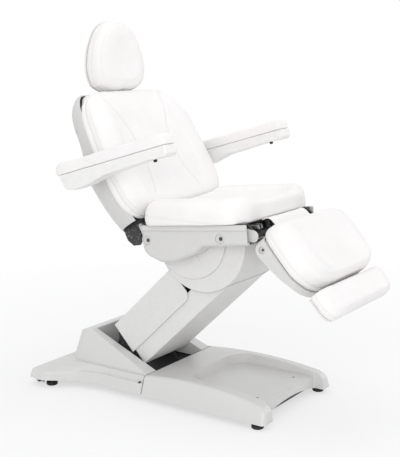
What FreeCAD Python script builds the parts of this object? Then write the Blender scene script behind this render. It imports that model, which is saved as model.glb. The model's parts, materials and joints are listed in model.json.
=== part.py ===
import FreeCAD, Part
import math
import os

import Sketcher

# An electric podiatry chair: a low base on four feet, a parallel-link lift, a drum-shaped
# carriage, a tilting seat, a reclining back with a sliding and tilting headrest, two arms
# that swing up, a leg rest and a foot pad that pulls out. Millimetres, +Z up. The foot end
# faces -Y, +X is the sitter's left. Each group is drawn in its own upright frame, whose
# origin is its pivot, and its Placement turns it to the pose in which the chair stands.

Vector = FreeCAD.Vector

doc = FreeCAD.newDocument("podiatry_chair")
sheet = doc.addObject("Spreadsheet::Sheet", "sizes")

SIZES = {
    # Where the frame's origin lies, and the pose
    "frame_shift": 170.5,
    "lift_angle": 43.7,
    "seat_tilt": 6.0,
    "back_recline": 31.0,
    "head_tilt": 5.0,
    "arm_rise": 16.3,
    "leg_drop": 48.0,
    # Clearances
    "gap": 0.3,
    "play": 3.0,
    "running_fit": 0.05,
    # Base
    "foot_front_x": 236.0,
    "foot_front_y": 523.0,
    "foot_rear_x": 318.0,
    "foot_rear_y": 414.0,
    "foot_radius": 23.0,
    "foot_pad_thick": 15.0,
    "foot_stem_radius": 6.0,
    "foot_nut_radius": 13.0,
    "foot_nut_thick": 8.0,
    "rail_x": 188.0,
    "rail_wide": 34.0,
    "rail_low": 27.0,
    "rail_high": 30.0,
    "front_cross_y": 492.0,
    "cross_wide": 40.0,
    "skirt_low": 22.0,
    "skirt_half": 264.0,
    "skirt_draft": 26.0,
    "seam_y": 5.0,
    "seam_top": 95.0,
    "crown_top": 112.0,
    "nose_top": 90.0,
    "front_end": 566.0,
    "apron_y": 522.0,
    "apron_half": 200.0,
    "apron_arch": 22.0,
    "rear_end": 498.0,
    "wing_half": 376.0,
    "wing_top": 66.0,
    "cover_wall": 4.0,
    "shoulder": 18.0,
    "soft_edge": 9.0,
    "tray_half": 192.0,
    "tray_rear_y": 165.0,
    "tray_floor": 72.0,
    "tray_corner": 85.0,
    "hump_half": 227.0,
    "hump_lean": 40.0,
    "hump_rear": 419.0,
    "hump_rear_lean": 30.0,
    "hump_corner": 70.0,
    "hump_top": 222.0,
    "rim_rear_y": 300.0,
    "rim_rise": 125.0,
    "opening_room": 11.0,
    "cover_screw_radius": 4.5,
    "cover_screw_long": 9.0,
    "wheel_radius": 16.0,
    "wheel_wide": 22.0,
    "wheel_axle_radius": 4.0,
    "wheel_x": 322.0,
    "wheel_y": 484.0,
    "wheel_lift": 2.0,
    "fork_plate": 4.0,
    "control_long": 96.0,
    "control_wide": 150.0,
    "control_high": 52.0,
    # Lift: pivots and links
    "link_pivot_y": 100.0,
    "link_pivot_z": 132.0,
    "upper_pivot_dy": 85.0,
    "upper_pivot_dz": 80.0,
    "link_length": 500.0,
    "link_half": 112.0,
    "link_plate": 10.0,
    "link_depth": 44.0,
    "link_tube_radius": 12.0,
    "link_pin_radius": 10.0,
    "bracket_gap": 3.0,
    "bracket_plate": 8.0,
    "cover_room": 31.0,
    "lower_cover_front": 42.0,
    "lower_cover_back": 46.0,
    "lower_cover_start": 8.0,
    "lower_cover_end": 549.0,
    "upper_cover_front": 91.0,
    "upper_cover_back": 46.0,
    "upper_cover_start": 2.0,
    "upper_cover_end": 396.0,
    "upper_cover_corner": 34.0,
    # Carriage, measured from the lower link's top pivot
    "drum_dy": 48.0,
    "drum_dz": 168.0,
    "drum_radius": 199.0,
    "drum_round": 5.0,
    "drum_top": 211.0,
    "drum_top_slope": 11.2,
    "doorway_turn": 53.0,
    "doorway_rebate": 0.5,
    "tilt_dy": 91.0,
    "tilt_dz": 178.0,
    "tilt_pin_radius": 11.0,
    "anchor_dy": 162.0,
    "anchor_dz": 125.0,
    "inner_x": 43.0,
    # Seat, measured from the tilt pivot in the seat's own upright frame
    "rail_top": 60.0,
    "seat_tube": 25.0,
    "rail_room": 5.5,
    "flank_room": 51.5,
    "seat_rail_front": 300.0,
    "seat_rail_rear": 148.0,
    "seat_lug_x": 130.0,
    "lug_inset": 9.0,
    "lug_plate": 8.0,
    "housing_front": 312.0,
    "housing_rear": 178.0,
    "housing_belly": 83.0,
    "housing_lip": 21.0,
    "housing_lip_out": 8.0,
    "housing_round": 20.0,
    "housing_wall": 4.0,
    "housing_corner": 45.0,
    "disc_radius": 160.0,
    "disc_gap": 2.0,
    "disc_thick": 7.0,
    "disc_line_long": 45.0,
    "dimple_radius": 20.0,
    "dimple_depth": 8.0,
    "seat_half": 295.0,
    "seat_front": 306.0,
    "seat_rear": 127.5,
    "seat_board": 12.0,
    "seat_thick": 95.0,
    "seat_dip": 34.0,
    # Back, measured from the recline pivot in the back's own upright frame
    "back_pivot_dy": 180.0,
    "back_pivot_dz": 54.0,
    "back_low": 22.0,
    "back_high": 562.0,
    "back_half": 322.0,
    "back_board_front": 26.0,
    "back_board": 12.0,
    "back_thick": 68.0,
    "back_dip": 24.0,
    "back_shell_half": 300.0,
    "back_shell_depth": 176.0,
    "back_shell_wall": 4.0,
    "back_rail_room": 0.5,
    "back_tube": 25.0,
    "recline_pin_radius": 9.0,
    "button_radius": 8.0,
    # Headrest
    "head_rod_radius": 7.0,
    "head_rod_x": 48.0,
    "head_rod_y": 34.0,
    "head_rod_long": 365.0,
    "head_guide_long": 90.0,
    "head_guide_radius": 12.0,
    "head_pivot_rise": 116.0,
    "head_half": 154.0,
    "head_below": 78.0,
    "head_above": 212.0,
    "head_thick": 84.0,
    "head_reach": 38.0,
    "head_shell": 16.0,
    "head_travel": 80.0,
    # Arms, measured from their pivot
    "arm_outer_x": 437.0,
    "arm_wide": 70.0,
    "arm_front": 471.0,
    "arm_rear": 66.0,
    "arm_pivot_y": 52.0,
    "arm_pivot_z": 249.0,
    "arm_seam": 25.0,
    "arm_pad": 42.0,
    "arm_hub": 40.0,
    "arm_pin_radius": 11.0,
    "arm_bracket_thick": 36.0,
    "bumper_radius": 7.0,
    "bumper_high": 9.0,
    # Leg rest, measured from its pivot
    "leg_pivot_dy": 323.0,
    "leg_pivot_dz": 16.0,
    "leg_half": 250.0,
    "leg_start": 8.0,
    "leg_end": 290.0,
    "leg_near_corner": 55.0,
    "leg_far_corner": 112.0,
    "leg_seam": 38.7,
    "leg_board": 8.0,
    "leg_thick": 95.0,
    "leg_shell_low": 16.0,
    "leg_shell_start": 28.0,
    "leg_rail_x": 120.0,
    "leg_tube": 14.0,
    "leg_tube_radius": 12.0,
    "leg_pin_radius": 8.0,
    # Foot pad, measured from its rods' line
    "foot_rod_x": 72.0,
    "foot_rod_radius": 5.5,
    "foot_rod_drop": 15.5,
    "foot_rod_long": 200.0,
    "foot_start": 294.0,
    "foot_half": 248.0,
    "foot_deep": 114.0,
    "foot_thick": 66.0,
    "foot_travel": 120.0,
    # Linear actuators
    "motor_radius": 22.0,
    "tube_radius": 17.0,
    "rod_radius": 9.0,
    "eye_radius": 15.0,
    "eye_thick": 16.0,
    "lug_thick": 10.0,
    "prong_thick": 5.0,
    "prong_gap": 2.0,
    "crank": 30.0,
    "back_crank": 60.0,
}

for row, (alias, number) in enumerate(SIZES.items(), start=1):
    sheet.set(f"A{row}", alias)
    sheet.set(f"B{row}", str(number))
    sheet.setAlias(f"B{row}", alias)
doc.recompute()


class Size:
    """A length or angle that knows its number and the sheet expression behind it."""

    def __init__(self, number, text):
        self.number = float(number)
        self.text = text

    def __float__(self):
        return self.number

    def __add__(self, other):
        return Size(self.number + float(other), f"({self.text} + {words(other)})")

    def __radd__(self, other):
        return Size(float(other) + self.number, f"({words(other)} + {self.text})")

    def __sub__(self, other):
        return Size(self.number - float(other), f"({self.text} - {words(other)})")

    def __rsub__(self, other):
        return Size(float(other) - self.number, f"({words(other)} - {self.text})")

    def __mul__(self, other):
        return Size(self.number * float(other), f"({self.text} * {words(other)})")

    __rmul__ = __mul__

    def __truediv__(self, other):
        return Size(self.number / float(other), f"({self.text} / {words(other)})")

    def __neg__(self):
        return Size(-self.number, f"(-1 * {self.text})")


def words(value):
    """The expression text of a Size or of a plain number."""
    return value.text if isinstance(value, Size) else repr(float(value))


class Cells:
    """The sheet's cells as Size attributes."""

    def __getattr__(self, alias):
        return Size(sheet.get(alias), f"sizes.{alias}")


cell = Cells()
pieces = {}

# Widths that follow one another, from the links outwards to the seat's housing

cell.lower_cover_half = cell.link_half + cell.cover_room
cell.upper_cover_half = cell.lower_cover_half + cell.cover_wall + cell.play
cell.drum_half = cell.upper_cover_half + cell.cover_wall + cell.play
cell.opening_half = cell.upper_cover_half + cell.opening_room
cell.disc_x = cell.drum_half + cell.disc_gap
cell.seat_rail_x = cell.disc_x + cell.disc_thick + cell.flank_room + cell.seat_tube / 2
cell.housing_half = cell.seat_rail_x + cell.seat_tube / 2 + cell.rail_room + cell.housing_wall
cell.seat_board_half = cell.seat_rail_x + cell.lug_plate
cell.hinge_lug_x = cell.seat_rail_x - cell.lug_inset
cell.hinge_plate_x = cell.hinge_lug_x - cell.lug_plate * 1.5
cell.back_rail_x = cell.hinge_plate_x - cell.back_tube / 2 - cell.back_rail_room


def keep(piece, label, station=None):
    """Label a finished sub-part, place it in its station's frame and list it for export."""
    piece.Label = label
    if station is not None:
        piece.Placement = station.multiply(piece.Placement)
    pieces[label] = piece
    return piece


# Frames: each station is the Placement of one moving group


def turned(parent, y, z, degrees):
    """A station whose origin lies at y, z in its parent's frame, turned about X."""
    offset = FreeCAD.Placement(Vector(0, float(y), float(z)), FreeCAD.Rotation(Vector(1, 0, 0), degrees))
    return parent.multiply(offset)


base_station = turned(FreeCAD.Placement(), cell.frame_shift, 0, 0)
lower_station = turned(base_station, cell.link_pivot_y, cell.link_pivot_z, -float(cell.lift_angle))
upper_station = turned(
    base_station,
    cell.link_pivot_y + cell.upper_pivot_dy,
    cell.link_pivot_z + cell.upper_pivot_dz,
    -float(cell.lift_angle),
)
carriage_station = turned(lower_station, -cell.link_length, 0, float(cell.lift_angle))
seat_station = turned(carriage_station, cell.tilt_dy, cell.tilt_dz, -float(cell.seat_tilt))
back_station = turned(
    seat_station,
    cell.back_pivot_dy,
    cell.back_pivot_dz,
    float(cell.seat_tilt) - float(cell.back_recline),
)
rods_station = turned(back_station, cell.head_rod_y, cell.back_high + cell.head_pivot_rise, 0)
head_station = turned(rods_station, 0, 0, float(cell.back_recline) - float(cell.head_tilt))
arm_station = turned(
    back_station,
    cell.arm_pivot_y,
    cell.arm_pivot_z,
    float(cell.back_recline) - float(cell.arm_rise),
)
leg_station = turned(
    seat_station, -cell.leg_pivot_dy, cell.leg_pivot_dz, float(cell.seat_tilt) + float(cell.leg_drop)
)
foot_lift = cell.leg_board + cell.gap * 2
foot_station = turned(leg_station, -cell.foot_start, cell.leg_seam + foot_lift, 0)
STATIONS = {
    "base": base_station,
    "lower": lower_station,
    "upper": upper_station,
    "carriage": carriage_station,
    "seat": seat_station,
    "back": back_station,
    "rods": rods_station,
    "head": head_station,
    "arm": arm_station,
    "leg": leg_station,
    "foot": foot_station,
}


# Tools for sketched pieces


def new_body(name):
    """An empty body."""
    return doc.addObject("PartDesign::Body", name)


def origin_plane(body, role):
    """One of a body's own origin planes or axes, by its role."""
    return [item for item in body.Origin.OriginFeatures if item.Role == role][0]


def outline(body, role, points, height=None):
    """A closed polygon sketch on an origin plane, each corner tied to its sizes."""
    sketch = body.newObject("Sketcher::SketchObject", "outline")
    sketch.AttachmentSupport = [(origin_plane(body, role), "")]
    sketch.MapMode = "FlatFace"
    if height is not None:
        sketch.setExpression("AttachmentOffset.Base.z", words(height))
    count = len(points)
    spots = [Vector(float(u), float(v), 0) for u, v in points]
    for index in range(count):
        sketch.addGeometry(Part.LineSegment(spots[index], spots[(index + 1) % count]), False)
    for index in range(count):
        sketch.addConstraint(Sketcher.Constraint("Coincident", index, 2, (index + 1) % count, 1))
    for index, (u, v) in enumerate(points):
        for kind, value in (("DistanceX", u), ("DistanceY", v)):
            rule = Sketcher.Constraint(kind, -1, 1, index, 1, float(value))
            number = sketch.addConstraint(rule)
            if isinstance(value, Size):
                sketch.setExpression(f"Constraints[{number}]", value.text)
    return sketch


def round_outline(body, role, u, v, radius, height=None):
    """A circle sketch on an origin plane."""
    sketch = body.newObject("Sketcher::SketchObject", "circle")
    sketch.AttachmentSupport = [(origin_plane(body, role), "")]
    sketch.MapMode = "FlatFace"
    if height is not None:
        sketch.setExpression("AttachmentOffset.Base.z", words(height))
    middle = Vector(float(u), float(v), 0)
    sketch.addGeometry(Part.Circle(middle, Vector(0, 0, 1), float(radius)), False)
    for kind, value in (("DistanceX", u), ("DistanceY", v)):
        number = sketch.addConstraint(Sketcher.Constraint(kind, -1, 1, 0, 3, float(value)))
        if isinstance(value, Size):
            sketch.setExpression(f"Constraints[{number}]", value.text)
    number = sketch.addConstraint(Sketcher.Constraint("Radius", 0, float(radius)))
    sketch.setExpression(f"Constraints[{number}]", words(radius))
    return sketch


def pad(body, sketch, length, middle=True, back=False):
    """Pad a sketch, both ways from its plane or one way."""
    feature = body.newObject("PartDesign::Pad", "pad")
    feature.Profile = sketch
    feature.setExpression("Length", words(length))
    feature.Midplane = middle
    feature.Reversed = back
    return feature


def pocket(body, sketch, length, middle=True, back=False):
    """Cut a sketch out of a body, and make sure that it took something away."""
    doc.recompute()
    before = body.Shape.Volume
    feature = body.newObject("PartDesign::Pocket", "pocket")
    feature.Profile = sketch
    feature.setExpression("Length", words(length))
    feature.Midplane = middle
    feature.Reversed = back
    doc.recompute()
    if body.Shape.Volume >= before:
        raise ValueError(f"a pocket in {body.Label} cuts nothing")
    return feature


def edges_of(shape, wanted):
    """Names of the edges that a test picks."""
    return [f"Edge{number}" for number, edge in enumerate(shape.Edges, start=1) if wanted(edge)]


def soften(body, radius, wanted):
    """Fillet the picked edges of a body's last feature."""
    doc.recompute()
    tip = body.Tip
    names = edges_of(tip.Shape, wanted)
    if not names:
        raise ValueError(f"no edge to round on {body.Label}")
    feature = body.newObject("PartDesign::Fillet", "fillet")
    feature.Base = (tip, names)
    feature.setExpression("Radius", words(radius))
    doc.recompute()
    return feature


def along_x(edge):
    """Is an edge straight and parallel to X?"""
    return is_along(edge, Vector(1, 0, 0))


def along_z(edge):
    """Is an edge straight and parallel to Z?"""
    return is_along(edge, Vector(0, 0, 1))


def is_along(edge, axis):
    """Is an edge straight and parallel to an axis?"""
    if edge.Curve.TypeId != "Part::GeomLine":
        return False
    return abs(edge.tangentAt(edge.FirstParameter).dot(axis)) > 1 - 1e-6


# Tools for pieces made of plain solids


def box(x, y, z, at):
    """A box with its lowest corner at a point."""
    low = Vector(*(float(value) for value in at))
    return Part.makeBox(float(x), float(y), float(z), low)


def rod(radius, length, start, axis):
    """A round bar from a point along an axis."""
    return Part.makeCylinder(float(radius), float(length), Vector(*(float(v) for v in start)), Vector(*axis))


def x_rod(radius, x_low, x_high, y, z):
    """A round bar parallel to X."""
    return rod(radius, float(x_high) - float(x_low), (x_low, y, z), (1, 0, 0))


def joined(solids):
    """One shape from solids that touch."""
    first, *others = solids
    return first.multiFuse(others).removeSplitter() if others else first


def mirrored(shape):
    """The same shape on the other side of the chair."""
    return shape.mirror(Vector(0, 0, 0), Vector(1, 0, 0))


def solid_piece(shape, label, station):
    """A sub-part whose shape is worked out from the sheet's sizes."""
    feature = doc.addObject("Part::Feature", label)
    feature.Shape = shape
    return keep(feature, label, station)


def ring(parts, place):
    """A closed wire of lines and three-point arcs, from points that place() puts in space."""
    edges = []
    for points in parts:
        spots = [place(float(u), float(v)) for u, v in points]
        if len(spots) == 2:
            edges.append(Part.LineSegment(*spots).toShape())
        else:
            edges.append(Part.Arc(*spots).toShape())
    return Part.Wire(edges)


def lofted(wires, ruled=False):
    """A closed solid through rings."""
    return Part.makeLoft(wires, True, ruled)


def section(points, place):
    """A closed ring from an even number of points: each three make an arc, or a line if straight."""
    spots = [place(float(u), float(v)) for u, v in points]
    edges = []
    for index in range(0, len(spots), 2):
        first, middle, last = spots[index], spots[index + 1], spots[(index + 2) % len(spots)]
        bow = (middle - first).cross(last - first).Length
        if bow > 1e-3 * (last - first).Length ** 2:
            edges.append(Part.Arc(first, middle, last).toShape())
        else:
            edges.append(Part.LineSegment(first, last).toShape())
    return Part.Wire(edges)


def rounded_ring(corners, place):
    """A closed ring with straight sides and round corners, each given as u, v and radius."""
    count = len(corners)
    bends = []
    for index in range(count):
        before, here, after = (corners[(index + step) % count] for step in (-1, 0, 1))
        tip = Vector(float(here[0]), float(here[1]), 0)
        back = (Vector(float(before[0]), float(before[1]), 0) - tip).normalize()
        on = (Vector(float(after[0]), float(after[1]), 0) - tip).normalize()
        half = back.getAngle(on) / 2
        radius = float(here[2])
        if radius:
            reach = radius / math.tan(half)
            middle = tip + (back + on).normalize() * (radius / math.sin(half) - radius)
            bends.append((tip + back * reach, middle, tip + on * reach))
        else:
            bends.append((tip,))
    edges = []
    for index, bend in enumerate(bends):
        if len(bend) > 1:
            edges.append(Part.Arc(*(place(spot.x, spot.y) for spot in bend)).toShape())
        ends = (bend[-1], bends[(index + 1) % count][0])
        start, stop = (place(spot.x, spot.y) for spot in ends)
        if (stop - start).Length > 1e-6:
            edges.append(Part.LineSegment(start, stop).toShape())
    return Part.Wire(edges)


def level(z):
    """Put plan points at a height."""
    return lambda u, v: Vector(u, v, float(z))


def upright(x):
    """Put side-view points at a distance from the middle."""
    return lambda u, v: Vector(float(x), u, v)


def plan_block(corners, low, high):
    """A block with an outline in plan."""
    face = Part.Face(rounded_ring(corners, level(low)))
    return face.extrude(Vector(0, 0, float(high) - float(low)))


def side_block(corners, from_x, to_x):
    """A block with an outline in the side view."""
    face = Part.Face(rounded_ring(corners, upright(from_x)))
    return face.extrude(Vector(float(to_x) - float(from_x), 0, 0))


def sharp(points):
    """Corners without a radius."""
    return [(u, v, 0) for u, v in points]


def rounded(shape, radius, wanted):
    """Fillet the picked edges of a shape."""
    picked = [edge for edge in shape.Edges if wanted(edge)]
    if not picked:
        raise ValueError("no edge to round")
    return shape.makeFillet(float(radius), picked)


def by_shares(shares, wide, high):
    """Points at shares of a width and a height."""
    return [(wide * u, high * v) for u, v in shares]


# Base: a welded frame on four adjustable feet

rail_top = cell.rail_low + cell.rail_high
bracket_x = cell.link_half + cell.bracket_gap + cell.bracket_plate / 2


def rectangle(x_low, x_high, y_low, y_high):
    """Corners of a rectangle in plan."""
    return [(x_low, y_low), (x_high, y_low), (x_high, y_high), (x_low, y_high)]


base_frame = new_body("base_frame")
cross_reach = cell.rail_x + cell.rail_wide / 2
rear_reach = cell.foot_rear_x + cell.foot_stem_radius * 1.5
front_reach = cell.foot_front_x + cell.foot_stem_radius * 1.5
rear_low = cell.foot_rear_y - cell.cross_wide / 2
rear_high = cell.foot_rear_y + cell.cross_wide / 2
front_low = -cell.front_cross_y - cell.cross_wide / 2
front_high = -cell.front_cross_y + cell.cross_wide / 2
bridge_low = cell.link_pivot_y - cell.cross_wide
bridge_high = cell.link_pivot_y + cell.cross_wide * 3.5
plan_pads = [
    rectangle(-cross_reach, cross_reach, bridge_low, bridge_high),
    rectangle(-rear_reach, rear_reach, rear_low, rear_high),
]
for side in (-1, 1):
    inner, outer = (cell.rail_x + cell.rail_wide * share for share in (-0.5, 0.5))
    low_x, high_x = (inner, outer) if side > 0 else (-outer, -inner)
    plan_pads.append(rectangle(low_x, high_x, front_low, rear_high))
plan_pads.append(rectangle(-front_reach, front_reach, front_low, front_high))
for side in (-1, 1):
    inner = cell.foot_front_x - cell.foot_stem_radius * 3
    low_x, high_x = (inner, front_reach) if side > 0 else (-front_reach, -inner)
    foot_low = -cell.foot_front_y - cell.foot_stem_radius * 3
    plan_pads.append(rectangle(low_x, high_x, foot_low, front_high))
for points in plan_pads:
    flat = outline(base_frame, "XY_Plane", points, cell.rail_low)
    pad(base_frame, flat, cell.rail_high, middle=False)
BRACKET_SHARES = [
    (-0.05, 0.0),
    (0.08, 0.14),
    (-0.22, 0.36),
    (-0.25, 0.46),
    (-0.12, 0.62),
    (0.6, 0.98),
    (0.8, 1.07),
    (1.22, 1.07),
    (1.38, 0.96),
    (1.34, 0.8),
    (1.9, 0.0),
]
bracket_rise = cell.link_pivot_z + cell.upper_pivot_dz - rail_top
bracket_points = [
    (cell.link_pivot_y + cell.upper_pivot_dy * u, rail_top + bracket_rise * v) for u, v in BRACKET_SHARES
]
for side in (-1, 1):
    plate = outline(base_frame, "YZ_Plane", bracket_points, bracket_x * side)
    pad(base_frame, plate, cell.bracket_plate)
fork_high = cell.rail_high
for side in (-1, 1):
    for edge in (-1, 1):
        fork_x = cell.wheel_x + (cell.wheel_wide / 2 + cell.fork_plate) * edge
        fork = rectangle(
            fork_x - cell.fork_plate / 2, fork_x + cell.fork_plate / 2, rear_high + cell.play * 1.5, cell.wheel_y
        )
        if side < 0:
            fork = [(-u, v) for u, v in reversed(fork)]
        flat = outline(base_frame, "XY_Plane", fork, cell.rail_low - cell.wheel_radius)
        pad(base_frame, flat, cell.rail_high, middle=False)
reach_x = cell.wheel_x + cell.wheel_wide / 2 + cell.fork_plate * 1.5
for side in (-1, 1):
    low_x, high_x = (rear_reach - cell.cross_wide, reach_x) if side > 0 else (-reach_x, cell.cross_wide - rear_reach)
    flat = outline(base_frame, "XY_Plane", rectangle(low_x, high_x, cell.foot_rear_y, rear_high + cell.play * 2), cell.rail_low)
    pad(base_frame, flat, cell.rail_high, middle=False)
for y, z, radius in (
    (cell.link_pivot_y, cell.link_pivot_z, cell.link_pin_radius),
    (cell.link_pivot_y + cell.upper_pivot_dy, cell.link_pivot_z + cell.upper_pivot_dz, cell.link_pin_radius),
):
    hole = round_outline(base_frame, "YZ_Plane", y, z, radius + cell.running_fit)
    pocket(base_frame, hole, cell.link_half * 3)
axle = round_outline(
    base_frame,
    "YZ_Plane",
    cell.wheel_y - cell.wheel_radius / 2,
    cell.wheel_radius + cell.wheel_lift,
    cell.wheel_axle_radius + cell.running_fit,
)
pocket(base_frame, axle, cell.wheel_x * 3)
FEET = [
    (cell.foot_front_x * side, -cell.foot_front_y) for side in (-1, 1)
] + [(cell.foot_rear_x * side, cell.foot_rear_y) for side in (-1, 1)]
for x, y in FEET:
    hole = round_outline(base_frame, "XY_Plane", x, y, cell.foot_stem_radius + cell.running_fit)
    pocket(base_frame, hole, rail_top * 3)
keep(base_frame, "base_frame", base_station)

axle_y = cell.wheel_y - cell.wheel_radius / 2
axle_z = cell.wheel_radius + cell.wheel_lift


def foot_pad_shape(x, y):
    """A round foot with a soft lower edge."""
    foot = rod(cell.foot_radius, cell.foot_pad_thick, (x, y, 0), (0, 0, 1))
    return foot.makeChamfer(float(cell.foot_stem_radius) / 2, foot.Edges[:1] + foot.Edges[2:])


def foot_stem_shape(x, y):
    """A threaded stem with its nut under the frame."""
    top = rail_top + cell.play
    stem = rod(cell.foot_stem_radius, top - cell.foot_pad_thick - cell.gap, (x, y, cell.foot_pad_thick + cell.gap), (0, 0, 1))
    nut_z = cell.rail_low - cell.gap - cell.foot_nut_thick
    return joined([stem, hex_nut(cell.foot_nut_radius, cell.foot_nut_thick, x, y, nut_z)])


def hex_nut(radius, thick, x, y, z):
    """A six-sided nut on a vertical axis."""
    corners = []
    for step in range(6):
        angle = math.pi / 3 * step
        corners.append((float(x) + float(radius) * math.cos(angle), float(y) + float(radius) * math.sin(angle), 0))
    return plan_block(corners, z, float(z) + float(thick))


solid_piece(Part.makeCompound([foot_pad_shape(x, y) for x, y in FEET]), "foot_pads", base_station)
solid_piece(Part.makeCompound([foot_stem_shape(x, y) for x, y in FEET]), "foot_stems", base_station)

wheel_inner = cell.wheel_x - cell.wheel_wide / 2 + cell.gap
wheel_outer = cell.wheel_x + cell.wheel_wide / 2 - cell.gap
fork_outer = cell.wheel_x + cell.wheel_wide / 2 + cell.fork_plate * 1.5


def wheel_shape():
    """A castor wheel with a bore and soft edges."""
    wheel = x_rod(cell.wheel_radius, wheel_inner, wheel_outer, axle_y, axle_z)
    wheel = rounded(wheel, cell.fork_plate / 2, lambda edge: edge.Curve.TypeId == "Part::GeomCircle")
    bore = x_rod(cell.wheel_axle_radius + cell.running_fit, wheel_inner - cell.play, wheel_outer + cell.play, axle_y, axle_z)
    return wheel.cut(bore)


def axle_shape():
    """A wheel axle with a head on its outer end."""
    shank = x_rod(cell.wheel_axle_radius, wheel_inner - cell.fork_plate * 1.5, fork_outer, axle_y, axle_z)
    head = x_rod(cell.wheel_axle_radius * 1.8, fork_outer, fork_outer + cell.fork_plate / 2, axle_y, axle_z)
    return joined([shank, head])


solid_piece(wheel_shape(), "transport_wheel_left", base_station)
solid_piece(mirrored(wheel_shape()), "transport_wheel_right", base_station)
solid_piece(Part.makeCompound([axle_shape(), mirrored(axle_shape())]), "wheel_axles", base_station)

pin_end = bracket_x + cell.bracket_plate
pin_inner = cell.link_half - cell.link_plate * 2
BASE_PIVOTS = [
    (cell.link_pivot_y, cell.link_pivot_z),
    (cell.link_pivot_y + cell.upper_pivot_dy, cell.link_pivot_z + cell.upper_pivot_dz),
]
solid_piece(
    Part.makeCompound([x_rod(cell.link_pin_radius, -pin_end, pin_end, y, z) for y, z in BASE_PIVOTS]),
    "base_pivot_pins",
    base_station,
)

control_start = cell.rim_rear_y + cell.cover_wall + cell.gap
control = box(
    cell.control_wide,
    cell.control_long,
    cell.control_high,
    (-cell.control_wide / 2, control_start, rail_top + cell.gap),
)
control = rounded(control, cell.soft_edge / 2, along_z)
lid_line = box(
    cell.control_wide + cell.play,
    cell.control_long + cell.play,
    cell.gap * 4,
    (-(cell.control_wide + cell.play) / 2, control_start - cell.play / 2, rail_top + cell.control_high / 2),
)
lid_core = box(
    cell.control_wide - cell.play,
    cell.control_long - cell.play,
    cell.control_high,
    (-(cell.control_wide - cell.play) / 2, control_start + cell.play / 2, rail_top + cell.gap),
)
solid_piece(control.cut(lid_line.cut(lid_core)), "control_box", base_station)

# Base covers: a front shroud with a foot tray, and a rear shroud with a slanted hood


def draft(z):
    """How far the drafted sides have come in at a height."""
    return (float(z) - float(cell.skirt_low)) * float(cell.skirt_draft) / float(cell.seam_top - cell.skirt_low)


def front_cover_shape(inset, roof):
    """The front shroud's outside, or its inside with the walls taken off."""
    half = float(cell.skirt_half) - inset
    corner = float(cell.shoulder)
    high = float(cell.crown_top) + inset
    rings = []
    for z in (float(cell.skirt_low) - roof, high):
        side = half - draft(z)
        front = -float(cell.front_end) + inset + draft(z) / 3
        rear = -float(cell.seam_y) + (inset and float(cell.play))
        rings.append(
            rounded_ring([(-side, front, corner), (side, front, corner), (side, rear, 0), (-side, rear, 0)], level(z))
        )
    walls = lofted(rings, True)
    seam, nose = float(cell.seam_top) - inset, float(cell.nose_top) - inset
    crown, front = float(cell.crown_top) - inset, -float(cell.front_end) + inset
    low = float(cell.skirt_low) - roof
    rear = -float(cell.seam_y) + (inset and float(cell.play))
    shoulder_y = -float(cell.apron_y)
    spots = [
        (rear, low),
        (rear, seam),
        (shoulder_y * 0.5, crown),
        (shoulder_y * 0.86, (crown + nose) / 2),
        (shoulder_y, nose),
        (front, nose * 0.52),
        (front, low),
    ]
    place = upright(-half * 1.2)
    wire = Part.Wire(
        [
            Part.LineSegment(place(*spots[0]), place(*spots[1])).toShape(),
            Part.Arc(place(*spots[1]), place(*spots[2]), place(*spots[3])).toShape(),
            Part.LineSegment(place(*spots[3]), place(*spots[4])).toShape(),
            Part.Arc(place(*spots[4]), place((spots[4][0] + front * 2) / 3, nose * 0.83), place(*spots[5])).toShape(),
            Part.LineSegment(place(*spots[5]), place(*spots[6])).toShape(),
            Part.LineSegment(place(*spots[6]), place(*spots[0])).toShape(),
        ]
    )
    profile = Part.Face(wire).extrude(Vector(half * 2.4, 0, 0))
    return walls.common(profile)


def is_top_side(edge):
    """Is an edge one of the long top edges of a shroud?"""
    box_of = edge.BoundBox
    return box_of.ZMin > float(cell.nose_top) * 0.5 and box_of.XLength < float(cell.skirt_half) * 0.5


wall = float(cell.cover_wall)
front_cover = front_cover_shape(0, 0)
front_cover = rounded(
    front_cover,
    cell.shoulder,
    lambda edge: edge.BoundBox.ZMin > float(cell.tray_floor) and edge.BoundBox.XLength < float(cell.shoulder),
)
notch = plan_block(
    [
        (-cell.apron_half, -cell.front_end * 1.2, 0),
        (cell.apron_half, -cell.front_end * 1.2, 0),
        (cell.apron_half, -cell.apron_y, cell.soft_edge),
        (-cell.apron_half, -cell.apron_y, cell.soft_edge),
    ],
    0,
    cell.crown_top * 2,
)
thick_notch = plan_block(
    [
        (-cell.apron_half - wall, -cell.front_end * 1.2, 0),
        (cell.apron_half + wall, -cell.front_end * 1.2, 0),
        (cell.apron_half + wall, -cell.apron_y + wall, cell.soft_edge),
        (-cell.apron_half - wall, -cell.apron_y + wall, cell.soft_edge),
    ],
    0,
    cell.crown_top * 2,
)
hollow = front_cover_shape(wall * 1.4, wall).cut(thick_notch)
tray_front = -cell.front_end


def tray_block(spread, floor):
    """The sunk tray's room, or that with its walls."""
    half = float(cell.tray_half) + spread
    rear = -float(cell.tray_rear_y) + spread
    corner = float(cell.tray_corner) + spread
    return plan_block(
        [(-half, tray_front, 0), (half, tray_front, 0), (half, rear, corner), (-half, rear, corner)],
        floor,
        cell.crown_top * 2,
    )


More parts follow.
